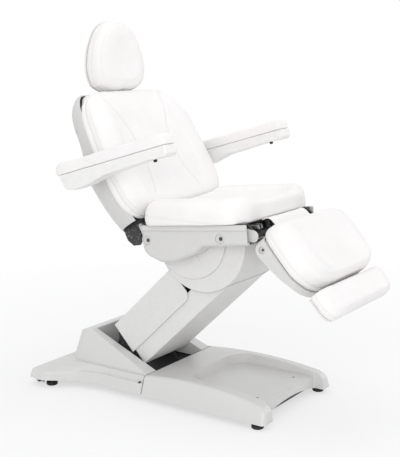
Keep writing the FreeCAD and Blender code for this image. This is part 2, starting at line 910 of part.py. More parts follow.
hollow = hollow.cut(tray_block(wall, cell.tray_floor - wall))
front_cover = front_cover.cut(notch).cut(hollow).cut(tray_block(0, cell.tray_floor))
arch_half = float(cell.apron_half) * 0.95
arch = Part.Face(
    Part.Wire(
        [
            Part.Arc(
                Vector(-arch_half, 0, float(cell.skirt_low)),
                Vector(0, 0, float(cell.skirt_low + cell.apron_arch)),
                Vector(arch_half, 0, float(cell.skirt_low)),
            ).toShape(),
            Part.LineSegment(
                Vector(arch_half, 0, float(cell.skirt_low)), Vector(-arch_half, 0, float(cell.skirt_low))
            ).toShape(),
        ]
    )
)
arch_block = arch.extrude(Vector(0, float(cell.tray_corner), 0))
arch_block.translate(Vector(0, -float(cell.apron_y) - float(cell.tray_corner) / 2, 0))
front_cover = front_cover.cut(arch_block)

WING_SHARES = [(0.0, 0.0, 0.0), (0.02, 0.42, 0.8), (0.24, 0.62, 0.9), (1.0, 0.84, 0.35), (1.0, 1.0, 0.3)]


def wing_ring(inset, z):
    """The rear shroud's outline in plan at a height."""
    side = float(cell.skirt_half) - inset - draft(z)
    spread = float(cell.wing_half - cell.skirt_half)
    long = float(cell.rear_end) - inset - draft(z) / 3
    start = -float(cell.seam_y) - (inset and float(cell.play))
    right = []
    for out, along, bend in WING_SHARES:
        right.append((side + spread * out, start + (long - start) * along, float(cell.hump_corner) * bend))
    left = [(-u, v, radius) for u, v, radius in reversed(right)]
    return rounded_ring(right + left, level(z))


def hump_ring(inset, z):
    """The hood's outline in plan at a height."""
    share = (float(z) - float(cell.wing_top)) / float(cell.hump_top - cell.wing_top)
    half = float(cell.hump_half) - inset - float(cell.hump_lean) * share
    rear = float(cell.hump_rear) - inset - float(cell.hump_rear_lean) * share
    start = -float(cell.seam_y) - (inset and float(cell.play))
    corner = float(cell.hump_corner) - inset
    return rounded_ring([(-half, start, 0), (half, start, 0), (half, rear, corner), (-half, rear, corner)], level(z))


def rear_cover_shape(inset, roof):
    """The rear shroud's outside, or its inside with the walls taken off."""
    low, flat = float(cell.skirt_low) - roof, float(cell.wing_top) - inset
    skirt = lofted([wing_ring(inset, low), wing_ring(inset, flat)], True)
    if not inset:
        skirt = rounded(
            skirt,
            cell.soft_edge,
            lambda edge: edge.BoundBox.ZMin > flat - 1e-3 and edge.BoundBox.YMax > 0,
        )
    rim, rise = float(cell.seam_top) - inset, float(cell.rim_rise)
    top, rear_y = float(cell.hump_top) - inset, float(cell.rim_rear_y)
    start = -float(cell.seam_y) - (inset and float(cell.play))
    end = float(cell.rear_end)
    slope = rise / (rear_y + float(cell.seam_y))
    lip_y = float(cell.hump_rear) - float(cell.hump_rear_lean)
    soft = float(cell.soft_edge)
    profile = side_block(
        [
            (start, low, 0),
            (end, low, 0),
            (end, top * 0.5, 0),
            (lip_y, top * 0.88, soft * 2),
            (lip_y - soft * 4, top * 0.96, soft * 3),
            (rear_y + soft, top, soft),
            (rear_y, rim + slope * (rear_y - start), 0),
            (start, rim, 0),
        ],
        -cell.wing_half,
        cell.wing_half,
    )
    hood = lofted([hump_ring(inset, low), hump_ring(inset, float(cell.hump_top) * 1.1)], True).common(profile)
    foot = float(cell.seam_top) * 0.97 - inset
    roof_low = wing_ring(inset + float(cell.soft_edge) * 1.2, flat - wall)
    roof_high = lofted([roof_low, inner_wing_ring(inset, foot)], True).common(profile)
    return skirt.common(profile).fuse([hood, roof_high]).removeSplitter()


def inner_wing_ring(inset, z):
    """The outline to which the wings' roof rises at the hood."""
    half = float(cell.hump_half) - inset + float(cell.soft_edge)
    start = -float(cell.seam_y) - (inset and float(cell.play))
    long = float(cell.hump_rear) - inset
    right = []
    for out, along, bend in WING_SHARES:
        right.append((half + float(cell.soft_edge) * out, start + (long - start) * along, float(cell.hump_corner) * bend * 0.4))
    left = [(-u, v, radius) for u, v, radius in reversed(right)]
    return rounded_ring(right + left, level(z))


rear_cover = rear_cover_shape(0, 0)
inside = rear_cover_shape(wall, wall)
floor_z = cell.wing_top
opening_rear = cell.rim_rear_y
middle_room = box(
    cell.opening_half * 2,
    cell.rim_rear_y + cell.seam_y * 2,
    cell.hump_top * 2,
    (-cell.opening_half, -cell.seam_y * 2, 0),
)
walled_room = box(
    cell.opening_half * 2 + wall * 2,
    cell.rim_rear_y + cell.seam_y * 2 + wall,
    cell.hump_top * 2,
    (-cell.opening_half - wall, -cell.seam_y * 2, cell.wing_top),
)
rear_cover = rear_cover.cut(inside.cut(walled_room)).cut(middle_room)
heel_y = cell.rim_rear_y * 0.5
heel_cut = side_block(
    sharp(
        [
            (heel_y, -cell.skirt_low),
            (cell.rear_end * 1.1, -cell.skirt_low),
            (cell.rear_end * 1.1, cell.skirt_low * 1.6),
            (heel_y, cell.skirt_low),
        ]
    ),
    -cell.wing_half * 1.1,
    cell.wing_half * 1.1,
)
rear_cover = rear_cover.cut(heel_cut)

COVER_SCREWS = [
    (float(cell.skirt_half) - draft(cell.wing_top), float(cell.seam_y) * 3, float(cell.wing_top)),
]


def cover_screw(x, y, z):
    """A countersunk screw that holds the shrouds together at the seam."""
    screw = x_rod(cell.cover_screw_radius, float(x) - float(cell.cover_screw_long), x, y, z)
    return screw.makeChamfer(float(cell.gap), screw.Edges[:1])


def tray_screw(x):
    """A screw near the front corners of the tray's floor."""
    y = -cell.apron_y + cell.tray_corner * 0.7
    return rod(cell.cover_screw_radius, cell.cover_screw_long / 2, (x, y, cell.tray_floor - cell.cover_wall), (0, 0, 1))


tray_screws = [tray_screw(cell.tray_half * 0.72 * side) for side in (-1, 1)]
side_screws = [cover_screw(*spot) for spot in COVER_SCREWS]
side_screws += [mirrored(screw) for screw in side_screws]
solid_piece(front_cover.cut(Part.makeCompound(tray_screws)), "front_cover", base_station)
solid_piece(rear_cover.cut(Part.makeCompound(side_screws)), "rear_cover", base_station)
solid_piece(Part.makeCompound(tray_screws + side_screws), "cover_screws", base_station)

# Lift: two links of a parallelogram, each a pair of side plates with cross tubes

link_x = cell.link_half - cell.link_plate / 2
hub_radius = cell.link_depth / 2


def make_link(label, station, tube_shares, tube_side, cover_half):
    """A link: plates with round ends on both sides, tied by cross tubes that carry its cover."""
    link = new_body(label)
    half = cell.link_depth / 2
    long = cell.link_length
    for share in tube_shares:
        tube_sketch = round_outline(link, "YZ_Plane", -long * share, hub_radius * tube_side, cell.link_tube_radius)
        pad(link, tube_sketch, (cover_half - cell.cover_wall - cell.gap) * 2)
    for side in (-1, 1):
        points = [(0, -half * 0.8), (0, half * 0.8), (-long, half * 0.8), (-long, -half * 0.8)]
        plate = outline(link, "YZ_Plane", points, link_x * side)
        pad(link, plate, cell.link_plate)
    for y in (0, -long):
        for side in (-1, 1):
            hub = round_outline(link, "YZ_Plane", y, 0, hub_radius, link_x * side)
            pad(link, hub, cell.link_plate)
    for y in (0, -long):
        hole = round_outline(link, "YZ_Plane", y, 0, cell.link_pin_radius + cell.running_fit)
        pocket(link, hole, cell.link_half * 3)
    return keep(link, label, station)


make_link("lower_link", lower_station, (0.3, 0.86), -0.45, cell.lower_cover_half)
make_link("upper_link", upper_station, (0.14, 0.62), 0.5, cell.upper_cover_half)


def arm_channel(half, low, high, start, end, open_top):
    """A U-shaped sheet cover along a link."""
    thin = cell.cover_wall
    outer = box(half * 2, end - start, high - low, (-half, -end, low))
    room_low = low + thin if open_top else low - thin
    room = box((half - thin) * 2, end - start + thin * 2, high - low, (thin - half, -end - thin, room_low))
    return outer, room


outer, room = arm_channel(
    cell.lower_cover_half,
    -cell.lower_cover_front,
    cell.lower_cover_back,
    cell.lower_cover_start,
    cell.lower_cover_end,
    True,
)
front_z = -float(cell.lower_cover_front)
outer = rounded(outer, cell.cover_wall * 0.9, lambda edge: is_along(edge, Vector(0, 1, 0)) and edge.BoundBox.ZMax < 0)
solid_piece(outer.cut(room), "lower_link_cover", lower_station)

outer, room = arm_channel(
    cell.upper_cover_half,
    -cell.upper_cover_front,
    cell.upper_cover_back,
    cell.upper_cover_start,
    cell.upper_cover_end,
    False,
)
outer = rounded(
    outer,
    cell.upper_cover_corner,
    lambda edge: along_x(edge) and edge.BoundBox.ZMax < 0 and edge.BoundBox.YMax < -float(cell.upper_cover_corner),
)
outer = rounded(
    outer, cell.cover_wall * 0.9, lambda edge: is_along(edge, Vector(0, 1, 0)) and edge.BoundBox.ZMin > 0
)
solid_piece(outer.cut(room), "upper_link_cover", upper_station)

# Carriage: two plates that hold the links' top pivots and the seat's tilt pivot

CARRIAGE_SHARES = [
    (-0.2, -0.06),
    (0.05, -0.14),
    (0.3, -0.04),
    (1.05, 0.34),
    (1.3, 0.5),
    (1.88, 0.6),
    (2.08, 0.7),
    (1.9, 0.8),
    (1.34, 0.86),
    (1.26, 1.04),
    (1.0, 1.13),
    (0.74, 1.04),
    (-0.7, 0.92),
    (-0.8, 0.78),
    (-0.66, 0.68),
    (0.35, 0.5),
    (-0.24, 0.06),
]
carriage_x = bracket_x
carriage = new_body("carriage_frame")
side_reach = cell.drum_half - cell.cover_wall - cell.gap
anchor = round_outline(carriage, "YZ_Plane", cell.anchor_dy, cell.anchor_dz, cell.link_tube_radius)
pad(carriage, anchor, side_reach * 2)
carriage_points = [(cell.tilt_dy * u * 0.93, cell.tilt_dz * v) for u, v in CARRIAGE_SHARES]
for side in (-1, 1):
    plate = outline(carriage, "YZ_Plane", carriage_points, carriage_x * side)
    pad(carriage, plate, cell.bracket_plate)
lug_tube = (cell.upper_pivot_dy, cell.upper_pivot_dz + cell.inner_x)
lift_x = -cell.inner_x
tube_sketch = round_outline(carriage, "YZ_Plane", *lug_tube, cell.link_tube_radius, (lift_x - carriage_x) / 2)
pad(carriage, tube_sketch, carriage_x + lift_x + cell.lug_thick)
front_tube = round_outline(carriage, "YZ_Plane", cell.tilt_dy * 0.35, cell.tilt_dz * 0.55, cell.link_tube_radius)
pad(carriage, front_tube, carriage_x * 2)
lug_half = cell.eye_radius * 0.8
lug_points = [
    (cell.upper_pivot_dy - lug_half, cell.upper_pivot_dz - lug_half),
    (cell.upper_pivot_dy + lug_half, cell.upper_pivot_dz - lug_half),
    (cell.upper_pivot_dy + lug_half, lug_tube[1]),
    (cell.upper_pivot_dy - lug_half, lug_tube[1]),
]
lug = outline(carriage, "YZ_Plane", lug_points, lift_x)
pad(carriage, lug, cell.lug_thick)
front_boss = (-cell.tilt_dy * 0.6, cell.tilt_dz * 0.82)
for side in (-1, 1):
    middle = (carriage_x + side_reach) / 2
    boss = round_outline(carriage, "YZ_Plane", *front_boss, cell.link_tube_radius, middle * side)
    pad(carriage, boss, side_reach - carriage_x)
for y, z, radius in (
    (0, 0, cell.link_pin_radius),
    (cell.upper_pivot_dy, cell.upper_pivot_dz, cell.link_pin_radius),
    (cell.tilt_dy, cell.tilt_dz, cell.tilt_pin_radius),
):
    for side in (-1, 1):
        hole = round_outline(carriage, "YZ_Plane", y, z, radius + cell.running_fit, carriage_x * side)
        pocket(carriage, hole, cell.bracket_plate * 1.5)
keep(carriage, "carriage_frame", carriage_station)


def stub_pair(radius, x_low, x_high, y, z):
    """A pin on each side of the chair."""
    one = x_rod(radius, x_low, x_high, y, z)
    return [one, mirrored(one)]


pin_out = carriage_x + cell.bracket_plate / 2 + cell.bracket_gap * 0.6
tilt_pins = stub_pair(
    cell.tilt_pin_radius,
    cell.link_half,
    cell.seat_lug_x + cell.lug_plate,
    cell.tilt_dy,
    cell.tilt_dz,
)
solid_piece(
    Part.makeCompound(
        stub_pair(cell.link_pin_radius, pin_inner, pin_out, 0, 0)
        + stub_pair(cell.link_pin_radius, pin_inner, pin_out, cell.upper_pivot_dy, cell.upper_pivot_dz)
        + tilt_pins
    ),
    "carriage_pins",
    carriage_station,
)

# The drum: a round shell over the carriage, open above and where the links enter


def drum_shell():
    """The drum-shaped cover of the carriage."""
    half, radius = float(cell.drum_half), float(cell.drum_radius)
    y, z = float(cell.drum_dy), float(cell.drum_dz)
    drum = x_rod(radius, -half, half, y, z)
    drum = rounded(drum, cell.drum_round, lambda edge: edge.Curve.TypeId == "Part::GeomCircle")
    room = x_rod(radius - wall, wall - half, half - wall, y, z)
    drum = drum.cut(room)
    reach = radius * 2
    top = box(reach * 2, reach * 2, reach, (-reach, 0, 0))
    top.translate(Vector(0, -reach, 0))
    top.rotate(Vector(0, 0, 0), Vector(1, 0, 0), -float(cell.drum_top_slope))
    top.translate(Vector(0, y - radius, float(cell.drum_top)))
    drum = drum.cut(top)
    # the links' doorway, from the lower cover's front face round to the rear
    start = float(cell.lift_angle) + 90
    inner = half - wall + float(cell.doorway_rebate)
    doorway = side_block(
        sharp(
            [
                (y, z),
                (y - reach * math.cos(math.radians(cell.doorway_turn)), z - reach * math.sin(math.radians(cell.doorway_turn))),
                (y, z - reach),
                (y + reach, z - reach),
                (y + reach, z + reach),
            ]
        ),
        -inner,
        inner,
    )
    return drum.cut(doorway)


solid_piece(drum_shell(), "carriage_cover", carriage_station)

# Seat: a welded frame, a moulded housing with side discs, a board and a cushion

hinge_plate = cell.lug_plate
rail_low_z = cell.rail_top - cell.seat_tube
seat_frame = new_body("seat_frame")
frame_half = cell.seat_rail_x + cell.seat_tube / 2
inner_half = cell.seat_rail_x - cell.seat_tube / 2
tube = cell.seat_tube
SEAT_BARS = [
    (rectangle(-frame_half, frame_half, cell.seat_rail_rear - tube, cell.seat_rail_rear), rail_low_z),
    (rectangle(-frame_half, frame_half, -tube, tube), rail_low_z),
    (rectangle(-frame_half, frame_half, -cell.seat_rail_front * 0.72, tube - cell.seat_rail_front * 0.72), rail_low_z),
]
for side in (-1, 1):
    low_x, high_x = (inner_half, frame_half) if side > 0 else (-frame_half, -inner_half)
    SEAT_BARS.insert(1, (rectangle(low_x, high_x, -cell.seat_rail_front, cell.seat_rail_rear), rail_low_z))
for points, height in SEAT_BARS:
    flat = outline(seat_frame, "XY_Plane", points, height)
    pad(seat_frame, flat, cell.seat_tube, middle=False)
leg_y, leg_z = -cell.leg_pivot_dy, cell.leg_pivot_dz
front_lug = [
    (tube - cell.seat_rail_front, cell.rail_top),
    (-cell.seat_rail_front, cell.rail_top),
    (leg_y - cell.eye_radius, leg_z + cell.eye_radius * 0.6),
    (leg_y - cell.eye_radius, leg_z - cell.eye_radius * 0.5),
    (leg_y - cell.eye_radius * 0.4, leg_z - cell.eye_radius),
    (tube - cell.seat_rail_front, leg_z - cell.eye_radius),
]
back_y, back_z = cell.back_pivot_dy, cell.back_pivot_dz
rear_lug = [
    (cell.seat_rail_rear - tube * 2, rail_low_z),
    (cell.seat_rail_rear, rail_low_z),
    (back_y + cell.eye_radius, back_z - cell.eye_radius * 0.6),
    (back_y + cell.eye_radius, back_z + cell.eye_radius * 0.6),
    (back_y, back_z + cell.eye_radius),
    (cell.seat_rear + cell.play, cell.rail_top),
    (cell.seat_rail_rear - tube * 2, cell.rail_top),
]
for side in (-1, 1):
    for points in (front_lug, rear_lug):
        lug = outline(seat_frame, "YZ_Plane", points, cell.hinge_lug_x * side)
        pad(seat_frame, lug, hinge_plate)
front_tube_z = leg_z - cell.eye_radius * 0.2
front_bar = [
    (-cell.seat_rail_front, leg_z - cell.eye_radius),
    (-cell.seat_rail_front, leg_z + cell.eye_radius * 0.4),
    (tube - cell.seat_rail_front, leg_z + cell.eye_radius * 0.4),
    (tube - cell.seat_rail_front, leg_z - cell.eye_radius),
]
bar = outline(seat_frame, "YZ_Plane", front_bar)
pad(seat_frame, bar, cell.hinge_lug_x * 2)
tilt_lug = [
    (-tube, cell.rail_top),
    (tube, cell.rail_top),
    (tube * 0.9, 0),
    (tube * 0.5, -tube * 0.8),
    (-tube * 0.5, -tube * 0.8),
    (-tube * 0.9, 0),
]
for side in (-1, 1):
    lug = outline(seat_frame, "YZ_Plane", tilt_lug, cell.seat_lug_x * side)
    pad(seat_frame, lug, cell.lug_plate)
flank_x = (inner_half + cell.disc_x + cell.disc_thick) / 2
notch_room = [
    (-cell.seat_rail_front * 0.72 - cell.play, rail_low_z - cell.play),
    (tube - cell.seat_rail_front * 0.72 + cell.play, rail_low_z - cell.play),
    (tube - cell.seat_rail_front * 0.72 + cell.play, cell.rail_top - tube * 0.25),
    (-cell.seat_rail_front * 0.72 - cell.play, cell.rail_top - tube * 0.25),
]
notch_sketch = outline(seat_frame, "YZ_Plane", notch_room, -flank_x)
pocket(seat_frame, notch_sketch, (cell.tube_radius + cell.play) * 2)
crank_y, crank_z = -cell.seat_rail_front * 0.69, -cell.housing_belly * 0.44
tilt_x = cell.inner_x
crank_lug = [
    (-cell.seat_rail_front * 0.72, cell.rail_top - tube / 2),
    (tube - cell.seat_rail_front * 0.72, cell.rail_top - tube / 2),
    (crank_y + lug_half, crank_z - lug_half),
    (crank_y - lug_half, crank_z - lug_half),
]
lug = outline(seat_frame, "YZ_Plane", crank_lug, tilt_x)
pad(seat_frame, lug, cell.lug_thick)
leg_anchor = (cell.seat_rear * 0.5, -cell.play)
back_anchor = (-cell.seat_rear * 0.9, cell.play)
for side, (y, z) in ((-1, leg_anchor), (1, back_anchor)):
    hanger = [
        (y - cell.eye_radius, cell.rail_top - tube / 2),
        (y - cell.eye_radius, z - cell.eye_radius * 0.7),
        (y + cell.eye_radius, z - cell.eye_radius * 0.7),
        (y + cell.eye_radius, cell.rail_top - tube / 2),
    ]
    plate = outline(seat_frame, "YZ_Plane", hanger, (inner_half - cell.play / 2) * side)
    pad(seat_frame, plate, cell.lug_plate)
    reach = inner_half - cell.disc_x - cell.disc_thick - cell.play
    stub = round_outline(seat_frame, "YZ_Plane", y, z, cell.leg_pin_radius, (inner_half - reach / 2) * side)
    pad(seat_frame, stub, reach)
for y, z, radius in (
    (leg_y, leg_z, cell.leg_pin_radius),
    (back_y, back_z, cell.recline_pin_radius),
):
    hole = round_outline(seat_frame, "YZ_Plane", y, z, radius + cell.running_fit)
    pocket(seat_frame, hole, frame_half * 3)
for side in (-1, 1):
    hole = round_outline(
        seat_frame, "YZ_Plane", 0, 0, cell.tilt_pin_radius + cell.running_fit, cell.seat_lug_x * side
    )
    pocket(seat_frame, hole, cell.lug_plate * 1.5)
keep(seat_frame, "seat_frame", seat_station)

pin_low = cell.hinge_lug_x - cell.lug_plate * 2
pin_high = cell.hinge_lug_x + cell.lug_plate / 2 + cell.play / 2
seat_pins = stub_pair(cell.leg_pin_radius, pin_low, pin_high, leg_y, leg_z)
seat_pins += stub_pair(cell.recline_pin_radius, pin_low, pin_high, back_y, back_z)
solid_piece(Part.makeCompound(seat_pins), "seat_pins", seat_station)

BELLY_SHARES = [
    (0.9, 0.51),
    (0.78, 0.74),
    (0.48, 1.0),
    (0.1, 0.98),
    (-0.42, 0.6),
    (-0.6, 0.31),
    (-0.66, 0.27),
]


def housing_block(inset, half, shift):
    """The seat housing's outside, or its inside with the walls taken off."""
    rear, belly = float(cell.housing_rear) - inset, float(cell.housing_belly)
    front, top = -float(cell.housing_front) - shift, float(cell.rail_top) + shift
    corners = [(front, top, 0), (rear, top, 0), (rear - inset / 2, -float(cell.housing_lip) * 0.4 + inset, belly * 0.3)]
    for along, down in BELLY_SHARES:
        bend = belly * 0.35 if abs(along) < 0.8 and along > -0.5 else belly * 0.1
        corners.append((float(cell.housing_rear) * along - inset * along, inset - belly * down, bend))
    corners.append((front, inset - belly * 0.2, 0))
    side = side_block(corners, -half, half)
    corner = float(cell.housing_corner) - inset
    plan = plan_block(
        [(-half, front, 0), (half, front, 0), (half, rear, corner), (-half, rear, corner)],
        -belly * 2,
        belly * 2,
    )
    return side.common(plan)


def on_flank(half):
    """A test for a housing's lower side edges."""

    def wanted(edge):
        bounds = edge.BoundBox
        flat = bounds.XLength < 1e-3 and abs(abs(bounds.XMin) - half) < 1e-3
        return flat and bounds.ZMax < float(cell.leg_pivot_dz) - 1e-3 and bounds.ZMin < bounds.ZMax + 1

    return wanted


housing_half = float(cell.housing_half)
housing = rounded(housing_block(0, housing_half, 0), cell.housing_round, on_flank(housing_half))
inner_wall = housing_half - wall
bend_room = float(cell.housing_round)
hollow = housing_block(wall + bend_room * 0.45, inner_wall, wall).fuse(
    housing_block(wall, inner_wall - bend_room * 0.6, wall)
)
lip_half = housing_half + float(cell.housing_lip_out)
lip_corner = float(cell.housing_corner) + float(cell.housing_lip_out)
lip = plan_block(
    [
        (-lip_half, -cell.housing_front, cell.soft_edge),
        (lip_half, -cell.housing_front, cell.soft_edge),
        (lip_half, cell.housing_rear + cell.housing_lip_out, lip_corner),
        (-lip_half, cell.housing_rear + cell.housing_lip_out, lip_corner),
    ],
    cell.rail_top - cell.housing_lip,
    cell.rail_top,
)
lip = rounded(lip, cell.housing_lip_out * 0.6, lambda edge: edge.BoundBox.ZLength < 1e-3)
housing = housing.fuse(lip)
DIMPLES = [(cell.housing_rear * 0.76, cell.play * 0.6), (-cell.housing_front * 0.63, cell.play * 3)]
backs, dips = [], []
for y, z in DIMPLES:
    backs.append(x_rod(cell.dimple_radius + wall, inner_wall - float(cell.dimple_depth), housing_half - wall / 2, y, z))
    dip = x_rod(cell.dimple_radius, housing_half - float(cell.dimple_depth), housing_half * 2, y, z)
    dips.append(rounded(dip, cell.dimple_depth * 0.5, lambda edge: edge.BoundBox.XMax < housing_half and edge.Curve.TypeId == "Part::GeomCircle"))
backs += [mirrored(shape) for shape in backs]
dips += [mirrored(shape) for shape in dips]
door_half = cell.disc_x + cell.disc_thick + cell.play
door = box(
    door_half * 2,
    cell.housing_front * 0.84 + cell.housing_rear * 0.93,
    cell.housing_belly * 2,
    (-door_half, -cell.housing_front * 0.84, -cell.housing_belly * 2 + cell.leg_pivot_dz * 2),
)
housing = housing.cut(hollow).cut(door).fuse(backs).cut(Part.makeCompound(dips))
rear_slots = [
    box(
        cell.lug_plate * 7,
        tube * 6,
        tube * 7,
        (cell.hinge_lug_x - cell.lug_plate * 5.7, cell.housing_rear - tube * 3, -tube * 4),
    )
]
rear_slots.append(mirrored(rear_slots[0]))
housing = housing.cut(Part.makeCompound(rear_slots)).removeSplitter()
solid_piece(housing, "seat_housing", seat_station)
screw_x = housing_half - float(cell.dimple_depth) + float(cell.gap)
housing_screws = [
    x_rod(cell.bumper_radius, screw_x, screw_x + float(cell.cover_wall) / 2, y, z) for y, z in DIMPLES
]
housing_screws += [mirrored(screw) for screw in housing_screws]
solid_piece(Part.makeCompound(housing_screws), "housing_screws", seat_station)


def disc_shape():
    """A round side disc with an engraved mark and two spacers to the seat rail."""
    disc = x_rod(cell.disc_radius, cell.disc_x, cell.disc_x + cell.disc_thick, 0, 0)
    disc = rounded(
        disc,
        cell.disc_thick * 0.5,
        lambda edge: edge.Curve.TypeId == "Part::GeomCircle" and edge.BoundBox.XMin > float(cell.disc_x) + 1,
    )
    reach = float(cell.disc_radius)
    top = box(cell.disc_x * 2, reach * 3, reach * 2, (0, -reach * 1.5, cell.rail_top - cell.play))
    disc = disc.cut(top)
    for start, long in ((-tube - cell.play, (tube + cell.play) * 2), (cell.seat_rail_rear - tube - cell.play, reach)):
        room = box(cell.disc_x, long, reach, (cell.disc_x * 0.5, start, rail_low_z - cell.play))
        disc = disc.cut(room)
    line = box(cell.disc_thick, cell.gap * 6, cell.disc_line_long, (cell.disc_x + cell.disc_thick * 0.8, 0, 0))
    line.rotate(Vector(0, 0, 0), Vector(1, 0, 0), -float(cell.back_recline))
    line.translate(Vector(0, -reach * 0.32, -reach * 0.66))
    disc = disc.cut(line)
    spacers = []
    for share in (-0.5, 0.68):
        outer_x = cell.hinge_lug_x - cell.lug_plate / 2
        spacers.append(
            x_rod(
                cell.bumper_radius,
                cell.disc_x + cell.disc_thick / 2,
                outer_x - cell.gap,
                reach * share,
                cell.rail_top - tube / 2,
            )
        )
    return joined([disc] + spacers)


solid_piece(Part.makeCompound([disc_shape(), mirrored(disc_shape())]), "side_discs", seat_station)

board_low = cell.rail_top + cell.gap
board_top = board_low + cell.seat_board
board_rear = cell.seat_rear - cell.housing_corner / 3
board_front = -cell.seat_rail_front * 0.97


def seat_board_shape(spread, low, high):
    """The seat board, or the recess that the cushion keeps for it."""
    half = float(cell.seat_board_half) + spread
    corner = float(cell.housing_corner)
    front, rear = float(board_front) - spread, float(board_rear) + spread
    return plan_block([(-half, front, corner), (half, front, corner), (half, rear, corner), (-half, rear, corner)], low, high)


solid_piece(seat_board_shape(0, board_low, board_top), "seat_board", seat_station)


def pad_ring(half, low, high, dip, place):
    """One section of a cushion: flat below, drawn-in sides, two bolsters and a dip between."""
    tuck = half * 0.025
    mid = (high - low) * 0.42 + low
    right = [
        (half - tuck, low),
        (half, mid),
        (half * 0.93, high - (high - low) * 0.14),
        (half * 0.8, high),
        (half * 0.62, high - dip * 0.42),
    ]
    left = [(-u, v) for u, v in reversed(right)]
    middle = [(0.0, high - dip)]
    return section(right + middle + left + [(0.0, low)], place)


PAD_STEP_SHARES = (0.012, 0.07, 0.2, 0.45, 1.0)


def soft_pad(place, start, end, half_at, low, thick_at, dip_at, corners, edges):
    """A cushion lofted along its length, with round corners in plan and crowned ends."""
    start, end, low = (float(value) for value in (start, end, low))
    first, last = (float(value) for value in corners)
    span = end - start
    spots = [first * share for share in PAD_STEP_SHARES]
    spots += [span - last * share for share in reversed(PAD_STEP_SHARES)]
    free = spots[5] - spots[4]
    between = max(int(free / (span * 0.16)), 1)
    middle = [spots[4] + free * step / (between + 1) for step in range(1, between + 1)]
    spots = spots[:5] + middle + spots[5:]
    rings = []
    for spot in spots:
        near, far = min(spot / first, 1.0), min((span - spot) / last, 1.0)
        half = half_at(spot / span)
        half -= first * (1 - math.sqrt(1 - (1 - near) ** 2)) + last * (1 - math.sqrt(1 - (1 - far) ** 2))
        thick = thick_at(spot / span)
        edge = thick * (edges[0] if spot < span / 2 else edges[1])
        rim = min(spot, span - spot, edge) / edge
        sink = edge * (1 - math.sqrt(1 - (1 - rim) ** 2)) * 0.9
        height = low + thick - sink
        dip = dip_at(spot / span) * rim + float(cell.gap)
        along = start + spot
        rings.append(pad_ring(half, low, height, dip, lambda u, v, along=along: place(u, v, along)))
    return lofted(rings)


def flat_along_y(u, v, along):
    """A place on a cushion that lies flat, counted from its front end backwards."""
    return Vector(u, along, v)


SEAT_CORNER_SHARE = 0.32
seat_pad = soft_pad(
    flat_along_y,
    -cell.seat_front,
    cell.seat_rear,
    lambda share: float(cell.seat_half) * (0.95 + 0.05 * min(share * 2.5, 1)),
    board_low,
    lambda share: float(cell.seat_thick),
    lambda share: float(cell.seat_dip),
    (cell.seat_front * SEAT_CORNER_SHARE, cell.housing_corner),
    (0.5, 0.5),
)
recess = seat_board_shape(float(cell.gap), 0, board_top + cell.gap)
solid_piece(seat_pad.cut(recess), "seat_cushion", seat_station)

# Back: a tube frame, a deep moulded shell, a board and a cushion

RECLINE_TIP_SHARES = (0.829, -0.559)
RECLINE_CRANK_SHARES = [(0.853, -0.841), (1.56, 0.0), (1.254, 0.256), (0.547, -0.583)]
board_rear_y = cell.back_board - cell.back_board_front
frame_front_y = board_rear_y + cell.gap
frame_rear_y = frame_front_y + cell.back_tube
back_frame = new_body("back_frame")
rail_in = cell.back_rail_x - cell.back_tube / 2
rail_out = cell.back_rail_x + cell.back_tube / 2
rail_end = cell.back_high * 0.89
for height, length in ((cell.back_low * 4, cell.back_tube), (rail_end - cell.back_tube, cell.back_tube)):
    flat = outline(back_frame, "XY_Plane", rectangle(-rail_out, rail_out, frame_front_y, frame_rear_y), height)
    pad(back_frame, flat, length, middle=False)
    if len(back_frame.Group) < 3:
        for side in (-1, 1):
            low_x, high_x = (rail_in, rail_out) if side > 0 else (-rail_out, -rail_in)
            flat = outline(
                back_frame, "XY_Plane", rectangle(low_x, high_x, frame_front_y, frame_rear_y), cell.back_low * 1.5
            )
            pad(back_frame, flat, rail_end - cell.back_low * 1.5, middle=False)
PLATE_SHARES = [
    (-0.13, 1.3),
    (0.11, 1.3),
    (0.62, 0.8),
    (0.96, 0.24),
    (0.98, -0.2),
    (0.82, -0.5),
    (0.54, -0.6),
    (0.3, -0.46),
    (0.24, -0.13),
    (0.0, -0.135),
    (-0.11, -0.09),
    (-0.13, 0.0),
]
plate_unit = cell.back_crank * 5 / 3
for side in (-1, 1):
    plate = outline(back_frame, "YZ_Plane", by_shares(PLATE_SHARES, plate_unit, plate_unit), cell.hinge_plate_x * side)
    pad(back_frame, plate, cell.lug_plate)
crank_plate = by_shares(RECLINE_CRANK_SHARES, cell.back_crank, cell.back_crank)
pad(back_frame, outline(back_frame, "YZ_Plane", crank_plate, flank_x), cell.lug_thick)
boss_x = (flank_x + cell.hinge_plate_x) / 2
boss = round_outline(back_frame, "YZ_Plane", cell.back_crank * 1.3, 0, cell.recline_pin_radius, boss_x)
pad(back_frame, boss, cell.hinge_plate_x - flank_x)
hole = round_outline(back_frame, "YZ_Plane", 0, 0, cell.recline_pin_radius + cell.running_fit)
pocket(back_frame, hole, frame_half * 3)
keep(back_frame, "back_frame", back_station)

# height, half width and depth of the shell as shares of its height, width and depth
SHELL_SHARES = [
    (0.0, 0.86, 0.7),
    (0.1, 0.93, 0.74),
    (0.24, 0.985, 0.78),
    (0.4, 1.0, 0.83),
    (0.5, 1.0, 0.8),
    (0.62, 0.985, 0.66),
    (0.8, 0.96, 0.58),
    (0.92, 0.91, 0.5),
    (1.0, 0.8, 0.32),
]


def back_ring(half, depth, front, z):
    """One level section of the back shell."""
    right = [
        (half, front),
        (half * 1.0, front + (depth - front) * 0.3),
        (half * 0.9, front + (depth - front) * 0.72),
        (half * 0.76, front + (depth - front) * 0.92),
        (half * 0.5, depth),
    ]
    left = [(-u, v) for u, v in reversed(right)]
    points = right + [(0.0, depth * 1.02)] + left + [(0.0, front)]
    return section(points, level(z))


